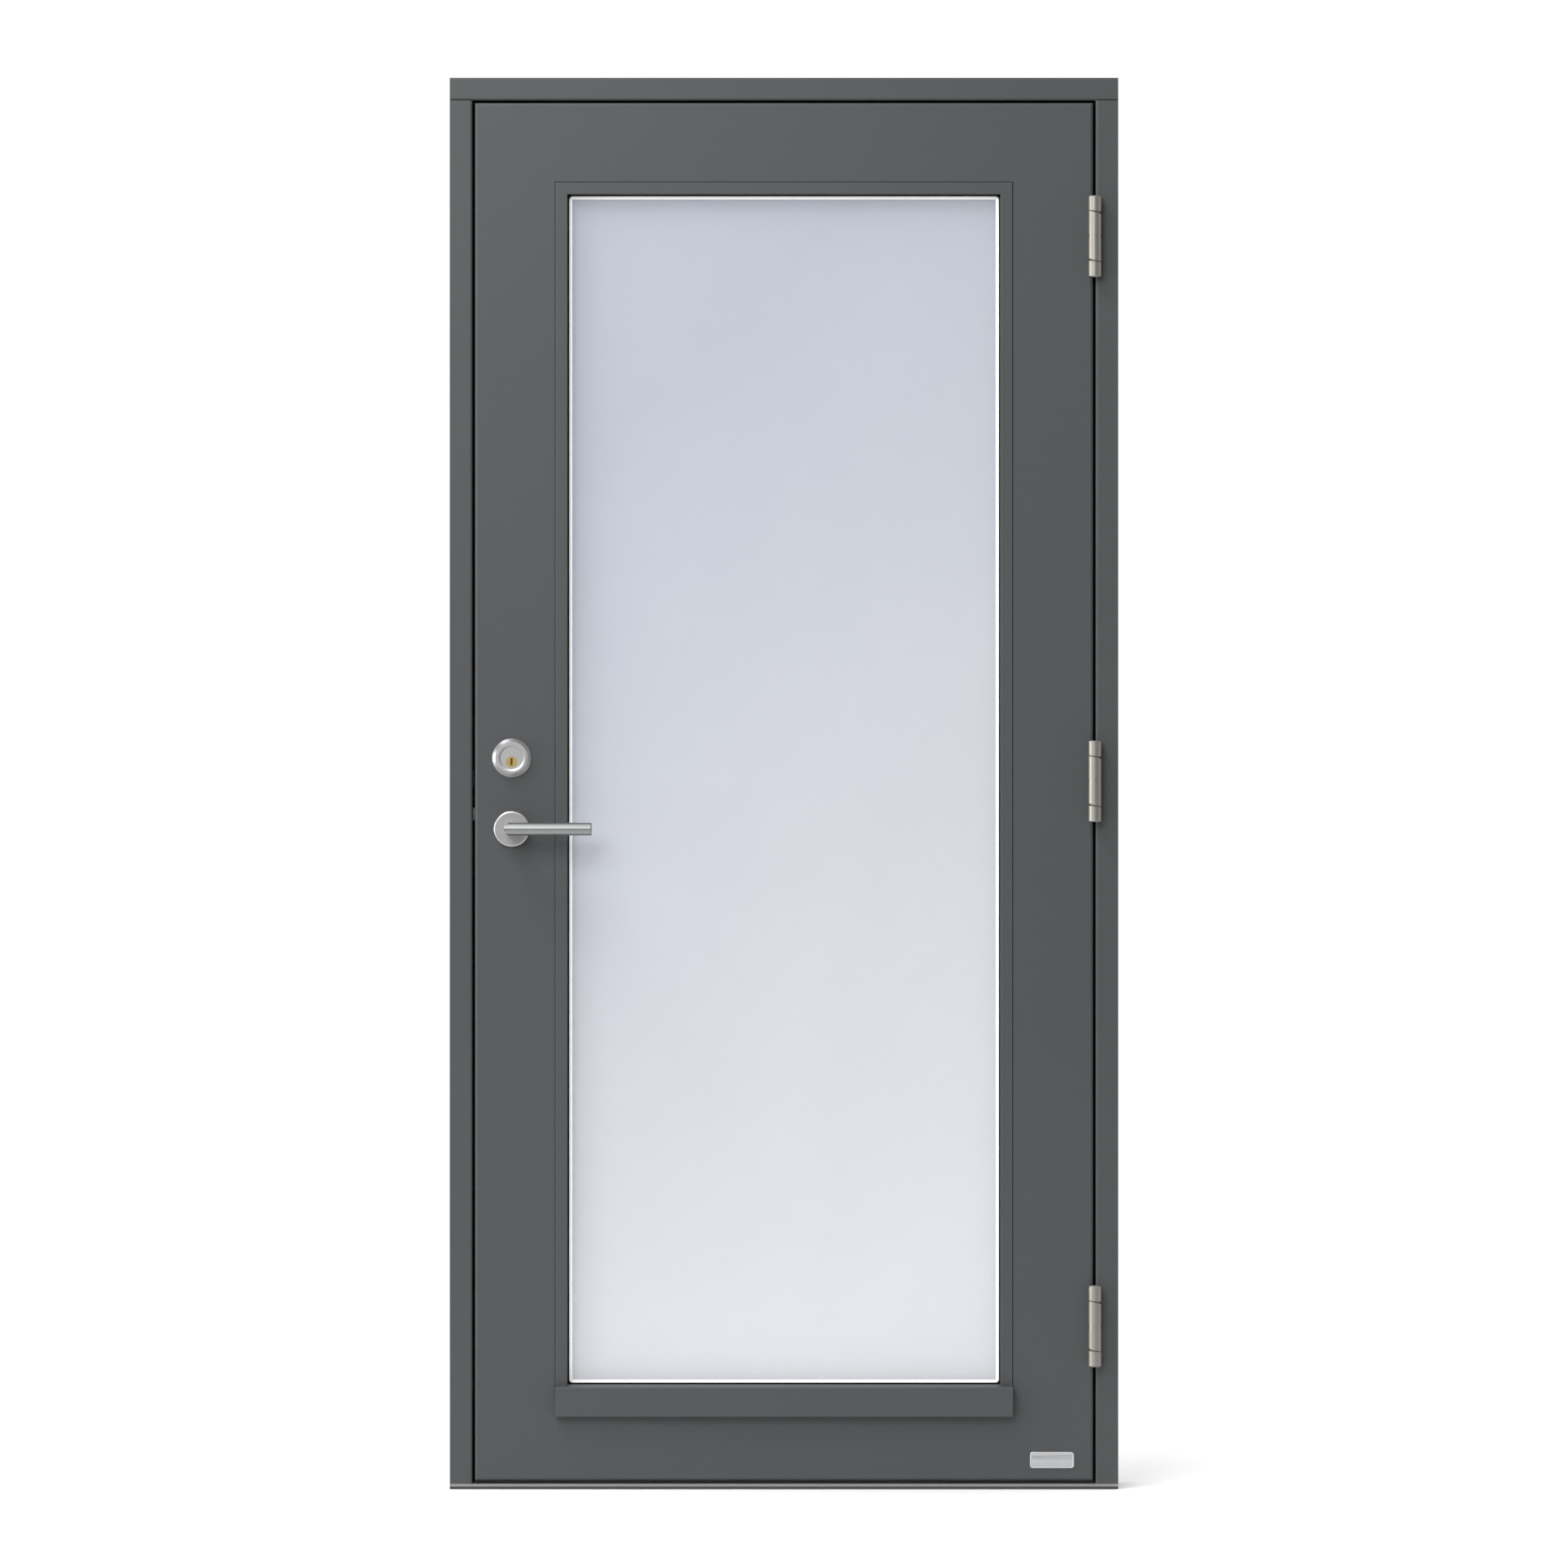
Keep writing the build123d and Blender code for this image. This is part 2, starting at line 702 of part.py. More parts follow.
# Weather bar: the bottom bead, drawn out into a nose that throws water clear
weather_bar_foot = weather_bar_top - weather_bar_drop
weather_bar_front = y_front - weather_bar_reach
with BuildPart() as weather_bar:
    with BuildSketch(Plane.YZ.offset(-glass_half)):
        with BuildLine():
            Polyline(
                (y_front, weather_bar_foot),
                (y_front, weather_bar_top),
                (y_front - bead_proud, weather_bar_top),
                (weather_bar_front, weather_bar_top - weather_bar_slope),
                (weather_bar_front, weather_bar_foot),
                close=True,
            )
        make_face()
        with Locations((weather_bar_front + drip_groove_inset, weather_bar_foot)):
            Circle(drip_groove_radius, mode=Mode.SUBTRACT)
    extrude(amount=2 * glass_half)
    nose = weather_bar.edges().filter_by(Axis.X).group_by(Axis.Y)[0]
    fillet(nose, weather_bar_nose_radius)
    block((-glass_half, glass_half), (y_front, unit_front - gasket_thickness), (glass_foot, weather_bar_top))
save(weather_bar.part, "weather_bar")

# Gaskets on both faces of the glass unit
for gasket_name, y_ends in (
    ("outer_gasket", (unit_front - gasket_thickness, unit_front)),
    ("inner_gasket", (unit_back, unit_back + gasket_thickness)),
):
    with BuildPart() as gasket:
        gasket_outer = opening(gasket_cover - bead_reach)
        ring(gasket_outer, gasket_cover + gasket_show, y_ends, gasket_corner_radius)
    save(gasket.part, gasket_name)

# Three panes, held apart by two hollow spacers and sealed round the edge
pane_pitch = glass_thickness + glass_cavity
for order, pane_name in enumerate(("outer_pane", "middle_pane", "inner_pane")):
    pane_half, pane_foot, pane_top = opening(-glass_edge_clearance)
    pane_front = unit_front + order * pane_pitch
    with BuildPart() as pane:
        block((-pane_half, pane_half), (pane_front, pane_front + glass_thickness), (pane_foot, pane_top))
    save(pane.part, pane_name)

cavities = [
    (unit_front + glass_thickness + order * pane_pitch, unit_front + (order + 1) * pane_pitch)
    for order in (0, 1)
]
for spacer_name, y_ends in zip(("outer_spacer", "inner_spacer"), cavities):
    with BuildPart() as spacer:
        ring(opening(-glass_edge_clearance - edge_seal_height), spacer_height, y_ends)
    save(spacer.part, spacer_name)

with BuildPart() as edge_seals:
    for y_ends in cavities:
        ring(opening(-glass_edge_clearance), edge_seal_height, y_ends)
save(edge_seals.part, "glass_edge_seals")

with BuildPart() as setting_blocks:
    for side in (-1, 1):
        block(
            span(side * (glass_half - setting_block_inset), setting_block_length),
            (unit_front, unit_back),
            (glass_foot, glass_foot + glass_edge_clearance),
        )
save(setting_blocks.part, "setting_blocks")

# Lock case, a thin-walled box behind its face plate
with BuildPart() as lock_case:
    block(case_x, (case_front, case_back), case_z)
    block(
        (case_x[0] + lock_case_wall, case_x[1] - lock_case_wall),
        (case_front + lock_case_wall, case_back - lock_case_wall),
        (case_z[0] + lock_case_wall, case_z[1] - lock_case_wall),
        mode=Mode.SUBTRACT,
    )
    for height, tall, thick, _ in bolt_shapes:
        block(
            (case_x[0] - grown, case_x[0] + lock_case_wall + grown),
            span(y_middle, thick, bolt_clearance),
            span(height, tall, bolt_clearance),
            mode=Mode.SUBTRACT,
        )
    through = (case_front - grown, case_back + grown)
    rod(lock_x, lever_height, spindle_hole_radius, through, Mode.SUBTRACT)
    bar_room = turn_bar_radius + bolt_clearance
    rod(lock_x, cylinder_height, bar_room, (y_middle, case_back + grown), Mode.SUBTRACT)
save(lock_case.part, "lock_case")

with BuildPart() as face_plate:
    block(
        (-leaf_half, case_edge),
        span(y_middle, face_plate_width),
        span(face_plate_middle, face_plate_length),
    )
    fillet(face_plate.edges().filter_by(Axis.X), face_plate_thickness)
    for height, tall, thick, _ in bolt_shapes:
        block(
            (-leaf_half - grown, case_edge + grown),
            span(y_middle, thick, bolt_clearance),
            span(height, tall, bolt_clearance),
            mode=Mode.SUBTRACT,
        )
    screws(face_plate_screw_spots, (1, 0, 0), screw_clearance, Mode.SUBTRACT)
save(face_plate.part, "lock_face_plate")

# Latch bolt, bevelled on the side that meets the jamb as the leaf closes
latch_tip = -leaf_half - latch_reach
with BuildPart() as latch_bolt:
    with BuildSketch(Plane.XY.offset(latch_height - latch_tall / 2)):
        with BuildLine():
            Polyline(
                (latch_tip, y_middle - latch_thick / 2),
                (latch_tip, y_middle - latch_thick / 4),
                (-leaf_half, y_middle + latch_thick / 2),
                (case_edge + latch_tail, y_middle + latch_thick / 2),
                (case_edge + latch_tail, y_middle - latch_thick / 2),
                close=True,
            )
        make_face()
    extrude(amount=latch_tall)
save(latch_bolt.part, "latch_bolt")

with BuildPart() as dead_bolt:
    block(
        (-leaf_half, case_edge + dead_bolt_tail),
        span(y_middle, dead_bolt_thick),
        span(dead_bolt_height, dead_bolt_tall),
    )
save(dead_bolt.part, "dead_bolt")


def rose(face, out, z):
    """A round rose with a raised collar: face is the leaf's face and out is -1 outside, 1 inside."""
    tall = rose_height + rose_collar_height
    with BuildPart() as piece:
        with BuildSketch(Plane.XY) as half_section:
            with BuildLine():
                Polyline(
                    (lever_radius + rose_bore_clearance, 0),
                    (rose_radius, 0),
                    (rose_radius, rose_height),
                    (rose_collar_radius, rose_height),
                    (rose_collar_radius, tall),
                    (lever_radius + rose_bore_clearance, tall),
                    close=True,
                )
            make_face()
            rim = half_section.vertices().sort_by(Axis.X)[-2:].sort_by(Axis.Y)[-1]
            fillet(rim, rose_rim_radius)
        revolve(axis=Axis.Y)
    turned = piece.part if out > 0 else piece.part.mirror(Plane.XZ)
    return Pos(lock_x, face, z) * turned


save(rose(y_front, -1, lever_height), "outer_rose")
save(rose(y_inside, 1, lever_height), "inner_rose")


def lever(face, out):
    """A round mitred lever: face is the leaf's face and out is -1 outside, 1 inside."""
    start = (lock_x, face + out * (rose_height - lever_tail), lever_height)
    corner = (lock_x, face + out * lever_reach, lever_height)
    end = (lock_x + lever_length, face + out * lever_reach, lever_height)
    with BuildPart() as piece:
        with BuildLine():
            Polyline(start, corner, end)
        with BuildSketch(Plane(origin=start, z_dir=(0, out, 0))):
            Circle(lever_radius)
        sweep(transition=Transition.RIGHT)
        tip = piece.edges().filter_by(GeomType.CIRCLE).sort_by(Axis.X)[-1]
        fillet(tip, lever_edge_radius)
        socket = sorted((start[1] - out * grown, start[1] + out * spindle_socket))
        block(span(lock_x, spindle_width), socket, span(lever_height, spindle_width), mode=Mode.SUBTRACT)
    return piece.part


save(lever(y_front, -1), "outer_lever")
save(lever(y_inside, 1), "inner_lever")

socket_end = rose_height - lever_tail + spindle_socket
with BuildPart() as spindle:
    block(
        span(lock_x, spindle_width),
        (y_front - socket_end, y_inside + socket_end),
        span(lever_height, spindle_width),
    )
save(spindle.part, "lever_spindle")

with BuildPart() as hub:
    rod(lock_x, lever_height, hub_radius, span(y_middle, hub_length))
    block(
        span(lock_x, spindle_width),
        span(y_middle, hub_length, grown),
        span(lever_height, spindle_width),
        mode=Mode.SUBTRACT,
    )
save(hub.part, "lock_hub")

# Stepped ring round the cylinder, falling towards its middle
with BuildPart() as cylinder_ring:
    with BuildSketch(Plane.XY) as ring_section:
        with BuildLine():
            Polyline(
                (cylinder_radius + cylinder_clearance, 0),
                (cylinder_ring_radius, 0),
                (cylinder_ring_radius, cylinder_ring_edge),
                (cylinder_flank_radius, cylinder_flank_height),
                (cylinder_step_radius, cylinder_flank_height),
                (cylinder_step_radius, cylinder_step_height),
                (cylinder_lip_radius, cylinder_step_height),
                (cylinder_lip_radius, cylinder_ring_height),
                (cylinder_crest_radius, cylinder_ring_height),
                (cylinder_radius + cylinder_clearance, cylinder_bore_height),
                close=True,
            )
        make_face()
    revolve(axis=Axis.Y)
ring_piece = Pos(lock_x, y_front, cylinder_height) * cylinder_ring.part.mirror(Plane.XZ)
save(ring_piece, "cylinder_ring")

# Cylinder, with its plug below the middle
cylinder_front = y_front - cylinder_ring_height + cylinder_face_inset
with BuildPart() as cylinder_body:
    rod(lock_x, cylinder_height, cylinder_radius, (cylinder_front, case_front))
    plug_room = (cylinder_front - grown, cylinder_front + plug_length + plug_clearance)
    rod(lock_x, plug_height, plug_radius + plug_clearance, plug_room, Mode.SUBTRACT)
save(cylinder_body.part, "cylinder_body")

with BuildPart() as key_plug:
    rod(lock_x, plug_height, plug_radius, (cylinder_front, cylinder_front + plug_length))
    block(
        span(lock_x, keyway_width),
        (cylinder_front - grown, cylinder_front + keyway_depth),
        span(plug_height, keyway_height),
        mode=Mode.SUBTRACT,
    )
save(key_plug.part, "key_plug")

# Inside rose and thumb turn
with BuildPart() as turn_rose:
    rod(lock_x, cylinder_height, turn_rose_radius, (y_inside, y_inside + turn_rose_height))
    rim = turn_rose.edges().filter_by(GeomType.CIRCLE).sort_by(Axis.Y)[-1]
    fillet(rim, rose_rim_radius)
    shank_room = turn_shank_radius + rose_bore_clearance
    rod(lock_x, cylinder_height, shank_room, (y_inside - grown, y_inside + turn_rose_height + grown), Mode.SUBTRACT)
save(turn_rose.part, "turn_rose")

with BuildPart() as thumb_turn:
    rod(lock_x, cylinder_height, turn_bar_radius, (y_middle + bolt_clearance, y_inside))
    knob_foot = y_inside + turn_rose_height + grown
    rod(lock_x, cylinder_height, turn_shank_radius, (y_inside, knob_foot))
    with BuildSketch(Plane.XZ.offset(-(knob_foot + turn_knob_reach))):
        with Locations((lock_x, cylinder_height)):
            SlotOverall(turn_knob_length, turn_knob_width, rotation=90)
    extrude(amount=turn_knob_reach)
save(thumb_turn.part, "thumb_turn")

# Bare plate near the foot of the leaf
with BuildPart() as foot_plate:
    with BuildSketch(Plane.XZ.offset(-y_front)):
        with Locations(
            (
                leaf_half - foot_plate_side_inset - foot_plate_width / 2,
                leaf_foot + foot_plate_foot_inset + foot_plate_height / 2,
            )
        ):
            RectangleRounded(foot_plate_width, foot_plate_height, foot_plate_radius)
    extrude(amount=foot_plate_thickness)
save(foot_plate.part, "foot_plate")
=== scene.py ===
"""Looks of a glazed entrance door in its frame: camera, light, finishes and the small repeated pieces.

Metres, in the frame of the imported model: +X to the right seen from outside, +Y to the inside, +Z up.
"""

import json
import logging
import math
from dataclasses import dataclass
from enum import Enum
from typing import Any, Union

import bmesh
import bpy
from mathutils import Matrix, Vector


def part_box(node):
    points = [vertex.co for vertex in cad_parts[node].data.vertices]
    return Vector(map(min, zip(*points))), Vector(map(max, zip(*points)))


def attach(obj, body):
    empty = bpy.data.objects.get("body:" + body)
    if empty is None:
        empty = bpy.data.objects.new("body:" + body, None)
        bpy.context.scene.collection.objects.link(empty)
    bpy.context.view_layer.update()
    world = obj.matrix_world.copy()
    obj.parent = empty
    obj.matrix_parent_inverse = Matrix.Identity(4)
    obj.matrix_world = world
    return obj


Colour = tuple[float, float, float]
Point = tuple[float, float, float]

logging.basicConfig(level=logging.INFO, format="%(name)s: %(message)s")
log = logging.getLogger("door")
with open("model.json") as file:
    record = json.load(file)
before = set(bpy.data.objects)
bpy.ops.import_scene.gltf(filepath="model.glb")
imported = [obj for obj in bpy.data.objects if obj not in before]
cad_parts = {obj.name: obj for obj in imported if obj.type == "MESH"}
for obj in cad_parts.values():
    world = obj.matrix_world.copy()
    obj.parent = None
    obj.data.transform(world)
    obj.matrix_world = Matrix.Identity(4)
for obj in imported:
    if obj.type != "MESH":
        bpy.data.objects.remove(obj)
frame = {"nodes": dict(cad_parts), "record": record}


def shade(red: int, green: int, blue: int) -> Colour:
    """Turn a screen colour into the linear colour that a shader takes.

    Args:
        red: Red from 0 to 255.
        green: Green from 0 to 255.
        blue: Blue from 0 to 255.

    Returns:
        Linear red, green and blue from 0 to 1.
    """

    def linear(part: int) -> float:
        """Undo the screen's curve for one part of a colour."""
        value = part / 255
        return value / 12.92 if value <= 0.04045 else ((value + 0.055) / 1.055) ** 2.4

    return (linear(red), linear(green), linear(blue))


class Grain(Enum):
    """The fine surface that a finish has."""

    SPRAYED = "sprayed paint with a slight orange peel"
    BRUSHED = "lines along X"
    TURNED = "fine rings round Z"
    FACED = "fine rings round Y"
    SATIN = "even, with no direction"
    MOULDED = "soft plastic or rubber"


class Number:
    """A number socket of a node tree, with arithmetic that adds Math nodes."""

    def __init__(self, tree: "Tree", socket: bpy.types.NodeSocket) -> None:
        """Wrap one output socket."""
        self.tree = tree
        self.socket = socket

    def _math(self, operation: str, *values: "Number | float") -> "Number":
        """Add one Math node.

        Args:
            operation: The node's operation.
            values: What its inputs take, from the upper one down.

        Returns:
            The result as a wrapped socket.
        """
        made = self.tree.add("ShaderNodeMath", {"operation": operation}, dict(enumerate(values)))
        return Number(self.tree, made.outputs[0])

    def __add__(self, other: "Number | float") -> "Number":
        """Sum."""
        return self._math("ADD", self, other)

    def __radd__(self, other: "Number | float") -> "Number":
        """Sum with the number on the left."""
        return self._math("ADD", other, self)

    def __sub__(self, other: "Number | float") -> "Number":
        """Difference."""
        return self._math("SUBTRACT", self, other)

    def __rsub__(self, other: "Number | float") -> "Number":
        """Difference with the number on the left."""
        return self._math("SUBTRACT", other, self)

    def __mul__(self, other: "Number | float") -> "Number":
        """Product."""
        return self._math("MULTIPLY", self, other)

    def __rmul__(self, other: "Number | float") -> "Number":
        """Product with the number on the left."""
        return self._math("MULTIPLY", other, self)

    def __truediv__(self, other: "Number | float") -> "Number":
        """Quotient."""
        return self._math("DIVIDE", self, other)

    def __rtruediv__(self, other: "Number | float") -> "Number":
        """Quotient with the number on the left."""
        return self._math("DIVIDE", other, self)

    def __pow__(self, other: "Number | float") -> "Number":
        """Power."""
        return self._math("POWER", self, other)

    def __rpow__(self, other: "Number | float") -> "Number":
        """Power with the number on the left."""
        return self._math("POWER", other, self)

    def __abs__(self) -> "Number":
        """The value without its sign."""
        return self._math("ABSOLUTE", self)

    def least(self, other: "Number | float") -> "Number":
        """The smaller of two values."""
        return self._math("MINIMUM", self, other)

    def most(self, other: "Number | float") -> "Number":
        """The larger of two values."""
        return self._math("MAXIMUM", self, other)

    def held(self) -> "Number":
        """The value held between 0 and 1."""
        return self.most(0.0).least(1.0)


Feed = Union[Number, bpy.types.NodeSocket, float, int, bool, tuple, bpy.types.Material]


class Tree:
    """Adds nodes and links to one node tree."""

    def __init__(self, tree: bpy.types.NodeTree) -> None:
        """Start on an empty tree."""
        self.tree = tree
        tree.nodes.clear()

    def add(
        self, kind: str, settings: dict[str, Any] | None = None, feeds: dict[int | str, Feed] | None = None
    ) -> bpy.types.Node:
        """Add one node.

        Args:
            kind: The node's type.
            settings: Properties, set before the sockets; "stops" are a ramp's positions and colours.
            feeds: Values or links by socket name, identifier or index.

        Returns:
            The new node.
        """
        made = self.tree.nodes.new(kind)
        for name, value in (settings or {}).items():
            if name == "stops":
                self._stops(made.color_ramp, value)
            else:
                setattr(made, name, value)
        for key, value in (feeds or {}).items():
            self.feed(self.socket(made.inputs, key), value)
        return made

    @staticmethod
    def _stops(ramp: bpy.types.ColorRamp, stops: list[tuple[float, Colour]]) -> None:
        """Give a ramp its stops.

        Args:
            ramp: The ramp, as a new node has it.
            stops: Position and colour of each stop, in order.
        """
        while len(ramp.elements) < len(stops):
            ramp.elements.new(0.5)
        for element, (place, colour) in zip(ramp.elements, stops):
            element.position = place
            element.color = (*colour, 1.0)

    @staticmethod
    def socket(sockets: Any, key: int | str) -> bpy.types.NodeSocket:
        """Find a socket.

        Args:
            sockets: A node's inputs or outputs.
            key: Index, identifier or name.

        Returns:
            The socket.
        """
        if isinstance(key, int):
            return sockets[key]
        for found in sockets:
            if found.identifier == key:
                return found
        return sockets[key]

    def feed(self, socket: bpy.types.NodeSocket, value: Feed) -> None:
        """Link or set one input socket.

        Args:
            socket: The input.
            value: A value to set, or what to link.
        """
        if isinstance(value, Number):
            self.tree.links.new(value.socket, socket)
        elif isinstance(value, bpy.types.NodeSocket):
            self.tree.links.new(value, socket)
        else:
            socket.default_value = value

    def number(self, node: bpy.types.Node, key: int | str = 0) -> Number:
        """Wrap one output of a node as a number."""
        return Number(self, self.socket(node.outputs, key))


class MaterialTree(Tree):
    """The node tree of one material, on Object coordinates."""

    def __init__(self, name: str) -> None:
        """Make the material and read the object's own coordinates.

        Args:
            name: The material's name.
        """
        self.material = bpy.data.materials.new(name)
        self.material.use_nodes = True
        super().__init__(self.material.node_tree)
        self.place = self.add("ShaderNodeTexCoord").outputs["Object"]

    def stretched(self, scale: Point, shift: Point = (0.0, 0.0, 0.0)) -> bpy.types.NodeSocket:
        """Coordinates scaled by axis, after a shift."""
        feeds = {"Vector": self.place, "Scale": scale, "Location": shift}
        return self.add("ShaderNodeMapping", {"vector_type": "POINT"}, feeds).outputs[0]

    def noise(self, place: bpy.types.NodeSocket, scale: float, detail: float = 2.0) -> Number:
        """Soft noise from 0 to 1.

        Args:
            place: Coordinates to read.
            scale: Patches per metre.
            detail: Octaves.

        Returns:
            The noise.
        """
        feeds = {"Vector": place, "Scale": scale, "Detail": detail, "Roughness": 0.5}
        return self.number(self.add("ShaderNodeTexNoise", {"noise_dimensions": "3D"}, feeds), 0)

    def blend(self, share: Feed, first: Feed, second: Feed) -> bpy.types.NodeSocket:
        """Mix two colours by a share.

        Args:
            share: Part that the second colour takes, from 0 to 1.
            first: Colour at a share of 0.
            second: Colour at a share of 1.

        Returns:
            The mixed colour.
        """
        first, second = ((*tint, 1.0) if isinstance(tint, tuple) else tint for tint in (first, second))
        feeds = {"Factor_Float": share, "A_Color": first, "B_Color": second}
        made = self.add("ShaderNodeMix", {"data_type": "RGBA"}, feeds)
        return self.socket(made.outputs, "Result_Color")

    def axis(self, letter: str) -> Number:
        """One coordinate of the place."""
        return self.number(self.add("ShaderNodeSeparateXYZ", None, {0: self.place}), letter)

    def bump(self, height: Number, relief: float) -> bpy.types.NodeSocket:
        """A normal from a height."""
        feeds = {"Height": height, "Distance": relief, "Strength": 1.0}
        return self.add("ShaderNodeBump", None, feeds).outputs["Normal"]

    def close(self, feeds: dict[str, Feed]) -> bpy.types.Material:
        """End the tree in one Principled shader.

        Args:
            feeds: Values and links of the shader's sockets.

        Returns:
            The material.
        """
        shader = self.add("ShaderNodeBsdfPrincipled", None, feeds)
        self.add("ShaderNodeOutputMaterial", None, {"Surface": shader.outputs[0]})
        return self.material


@dataclass(frozen=True)
class Finish:
    """How the pieces of one material slot look."""

    label: str
    colour: Colour
    second: Colour
    roughness: float
    grain: Grain
    metallic: float = 0.0
    specular: float = 0.5
    fine: float = 900.0
    relief: float = 0.00001
    drift: float = 0.06
    drawn_out: float = 0.02
    broad_scale: float = 2.2
    spot_scale: float = 60.0
    colour_parts: tuple[float, float, float] = (0.55, 0.25, 0.2)
    peel_parts: tuple[float, float] = (0.7, 0.3)

    def _stretch(self) -> Point:
        """Scale by axis that gives the grain its direction.

        Returns:
            The scale, small along the lines or rings.
        """
        return {
            Grain.BRUSHED: (self.drawn_out, 1.0, 1.0),
            Grain.TURNED: (self.drawn_out, self.drawn_out, 1.0),
        }.get(self.grain, (1.0, 1.0, 1.0))

    def _fine_place(self, tree: MaterialTree) -> bpy.types.NodeSocket:
        """Coordinates that the fine grain reads.

        Args:
            tree: The material's tree.

        Returns:
            The coordinates, drawn out along the grain, or in rings round the lever's axis.
        """
        if self.grain is not Grain.FACED:
            return tree.stretched(self._stretch())
        low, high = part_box("outer_rose")
        middle = (low + high) / 2
        centred = tree.stretched((1.0, 0.0, 1.0), (-middle.x, 0.0, -middle.z))
        length = tree.add("ShaderNodeVectorMath", {"operation": "LENGTH"}, {0: centred})
        rings = tree.add("ShaderNodeCombineXYZ", None, {"X": tree.number(length, "Value")})
        return rings.outputs[0]

    def build(self) -> bpy.types.Material:
        """Make the material.

        Returns:
            The material, with its grain in colour, roughness and bump.
        """
        tree = MaterialTree(self.label)
        fine = tree.noise(self._fine_place(tree), self.fine, detail=3.0)
        broad = tree.noise(tree.place, self.broad_scale)
        spots = tree.noise(tree.place, self.spot_scale, detail=3.0)
        of_broad, of_spots, of_fine = self.colour_parts
        share = broad * of_broad + spots * of_spots + fine * of_fine
        rough = self.roughness + (fine - 0.5) * self.drift + (broad - 0.5) * self.drift
        height = fine
        if self.grain is Grain.SPRAYED:
            height = fine * self.peel_parts[0] + spots * self.peel_parts[1]
        feeds: dict[str, Feed] = {
            "Base Color": tree.blend(share, self.colour, self.second),
            "Roughness": rough,
            "Metallic": self.metallic,
            "Specular IOR Level": self.specular,
            "Normal": tree.bump(height, self.relief),
        }
        return tree.close(feeds)


@dataclass(frozen=True)
class PaneFinish:
    """Pale glass with a painted reflection of the sky in its colour: darker and bluer high on the left,
    lighter towards its foot and the right, with faint reflected clouds, and the spacer's bright line painted
    onto it.
    """

    label: str
    clear: float
    # Colours of the painted sky reflection, from the top of the glass to its foot
    top: Colour = shade(190, 195, 205)
    middle: Colour = shade(202, 205, 213)
    low: Colour = shade(213, 215, 220)
    foot: Colour = shade(221, 223, 227)
    # The painted line: pure white and opaque, partly the spacer's own white, partly a painted highlight that
    # the gasket's shade would dim
    line: Colour = shade(255, 255, 255)
    stops: tuple[float, float, float, float] = (0.0, 0.3, 0.62, 0.98)
    slant: float = 0.9
    start: float = 0.12
    reach: float = 1.75
    # Waves and reflected clouds in the painted sky reflection
    drift_stretch: Point = (1.2, 0.0, 0.7)
    drift_scale: float = 1.9
    drift_part: float = 0.24
    reflected_cloud_stretch: Point = (2.2, 0.0, 1.2)
    reflected_cloud_shift: Point = (0.7, 0.0, 0.4)
    reflected_cloud_scale: float = 2.4
    reflected_cloud_part: float = 0.16
    roughness: float = 0.04
    haze_scale: float = 7.0
    haze_roughness: float = 0.03
    haze_cover: float = 0.04
    spacer_height: float = 0.0095
    line_sharpness: float = 4000.0

    def _edge_line(self, tree: MaterialTree) -> Number:
        """Share of the bright line along the inside of the gasket, painted onto the pane: the spacer's own
        white, and a painted highlight that the shade inside the gasket would otherwise dim.

        Args:
            tree: The material's tree.

        Returns:
            1 on the line and outside it, 0 within.
        """
        gasket_low, gasket_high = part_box("outer_gasket")
        low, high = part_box("outer_spacer")
        middle = (gasket_low.z + gasket_high.z) / 2
        half_width = (high.x - low.x) / 2 - self.spacer_height
        half_height = (high.z - low.z) / 2 - self.spacer_height
        across = abs(tree.axis("X")) - half_width
        along = abs(tree.axis("Z") - middle) - half_height
        return (across.most(along) * self.line_sharpness).held()

    def build(self) -> bpy.types.Material:
        """Make the glass, with a reflection of the sky painted into its colour.

        Returns:
            The material, clear except where the painted bright line hides what lies behind.
        """
        tree = MaterialTree(self.label)
        drift = tree.noise(tree.stretched(self.drift_stretch), self.drift_scale, detail=3.0)
        reflected_cloud_place = tree.stretched(self.reflected_cloud_stretch, self.reflected_cloud_shift)
        reflected_cloud = tree.noise(reflected_cloud_place, self.reflected_cloud_scale, detail=5.0)
        # Painted reflection of the sky: a climb up and to the left, broken by waves and reflected clouds
        climb = (tree.axis("Z") - tree.axis("X") * self.slant - self.start) / self.reach
        waves = (drift - 0.5) * self.drift_part + (reflected_cloud - 0.5) * self.reflected_cloud_part
        share = (climb + waves).held()
        stops = list(zip(self.stops, (self.foot, self.low, self.middle, self.top)))
        ramp = tree.add("ShaderNodeValToRGB", {"stops": stops}, {0: share})
        haze = tree.noise(tree.place, self.haze_scale)
        # Painted bright line, kept opaque so that the shade inside the gasket doesn't dim it
        line = self._edge_line(tree)
        feeds: dict[str, Feed] = {
            "Base Color": tree.blend(line, ramp.outputs["Color"], self.line),
            "Roughness": self.roughness + haze * self.haze_roughness,
            "Alpha": 1.0 - (1.0 - haze * self.haze_cover) * (1.0 - line) * self.clear,
            "Specular IOR Level": 0.5,
        }
        return tree.close(feeds)


PAINT = shade(58, 60, 61)
PAINT_LIGHT = shade(62, 64, 65)

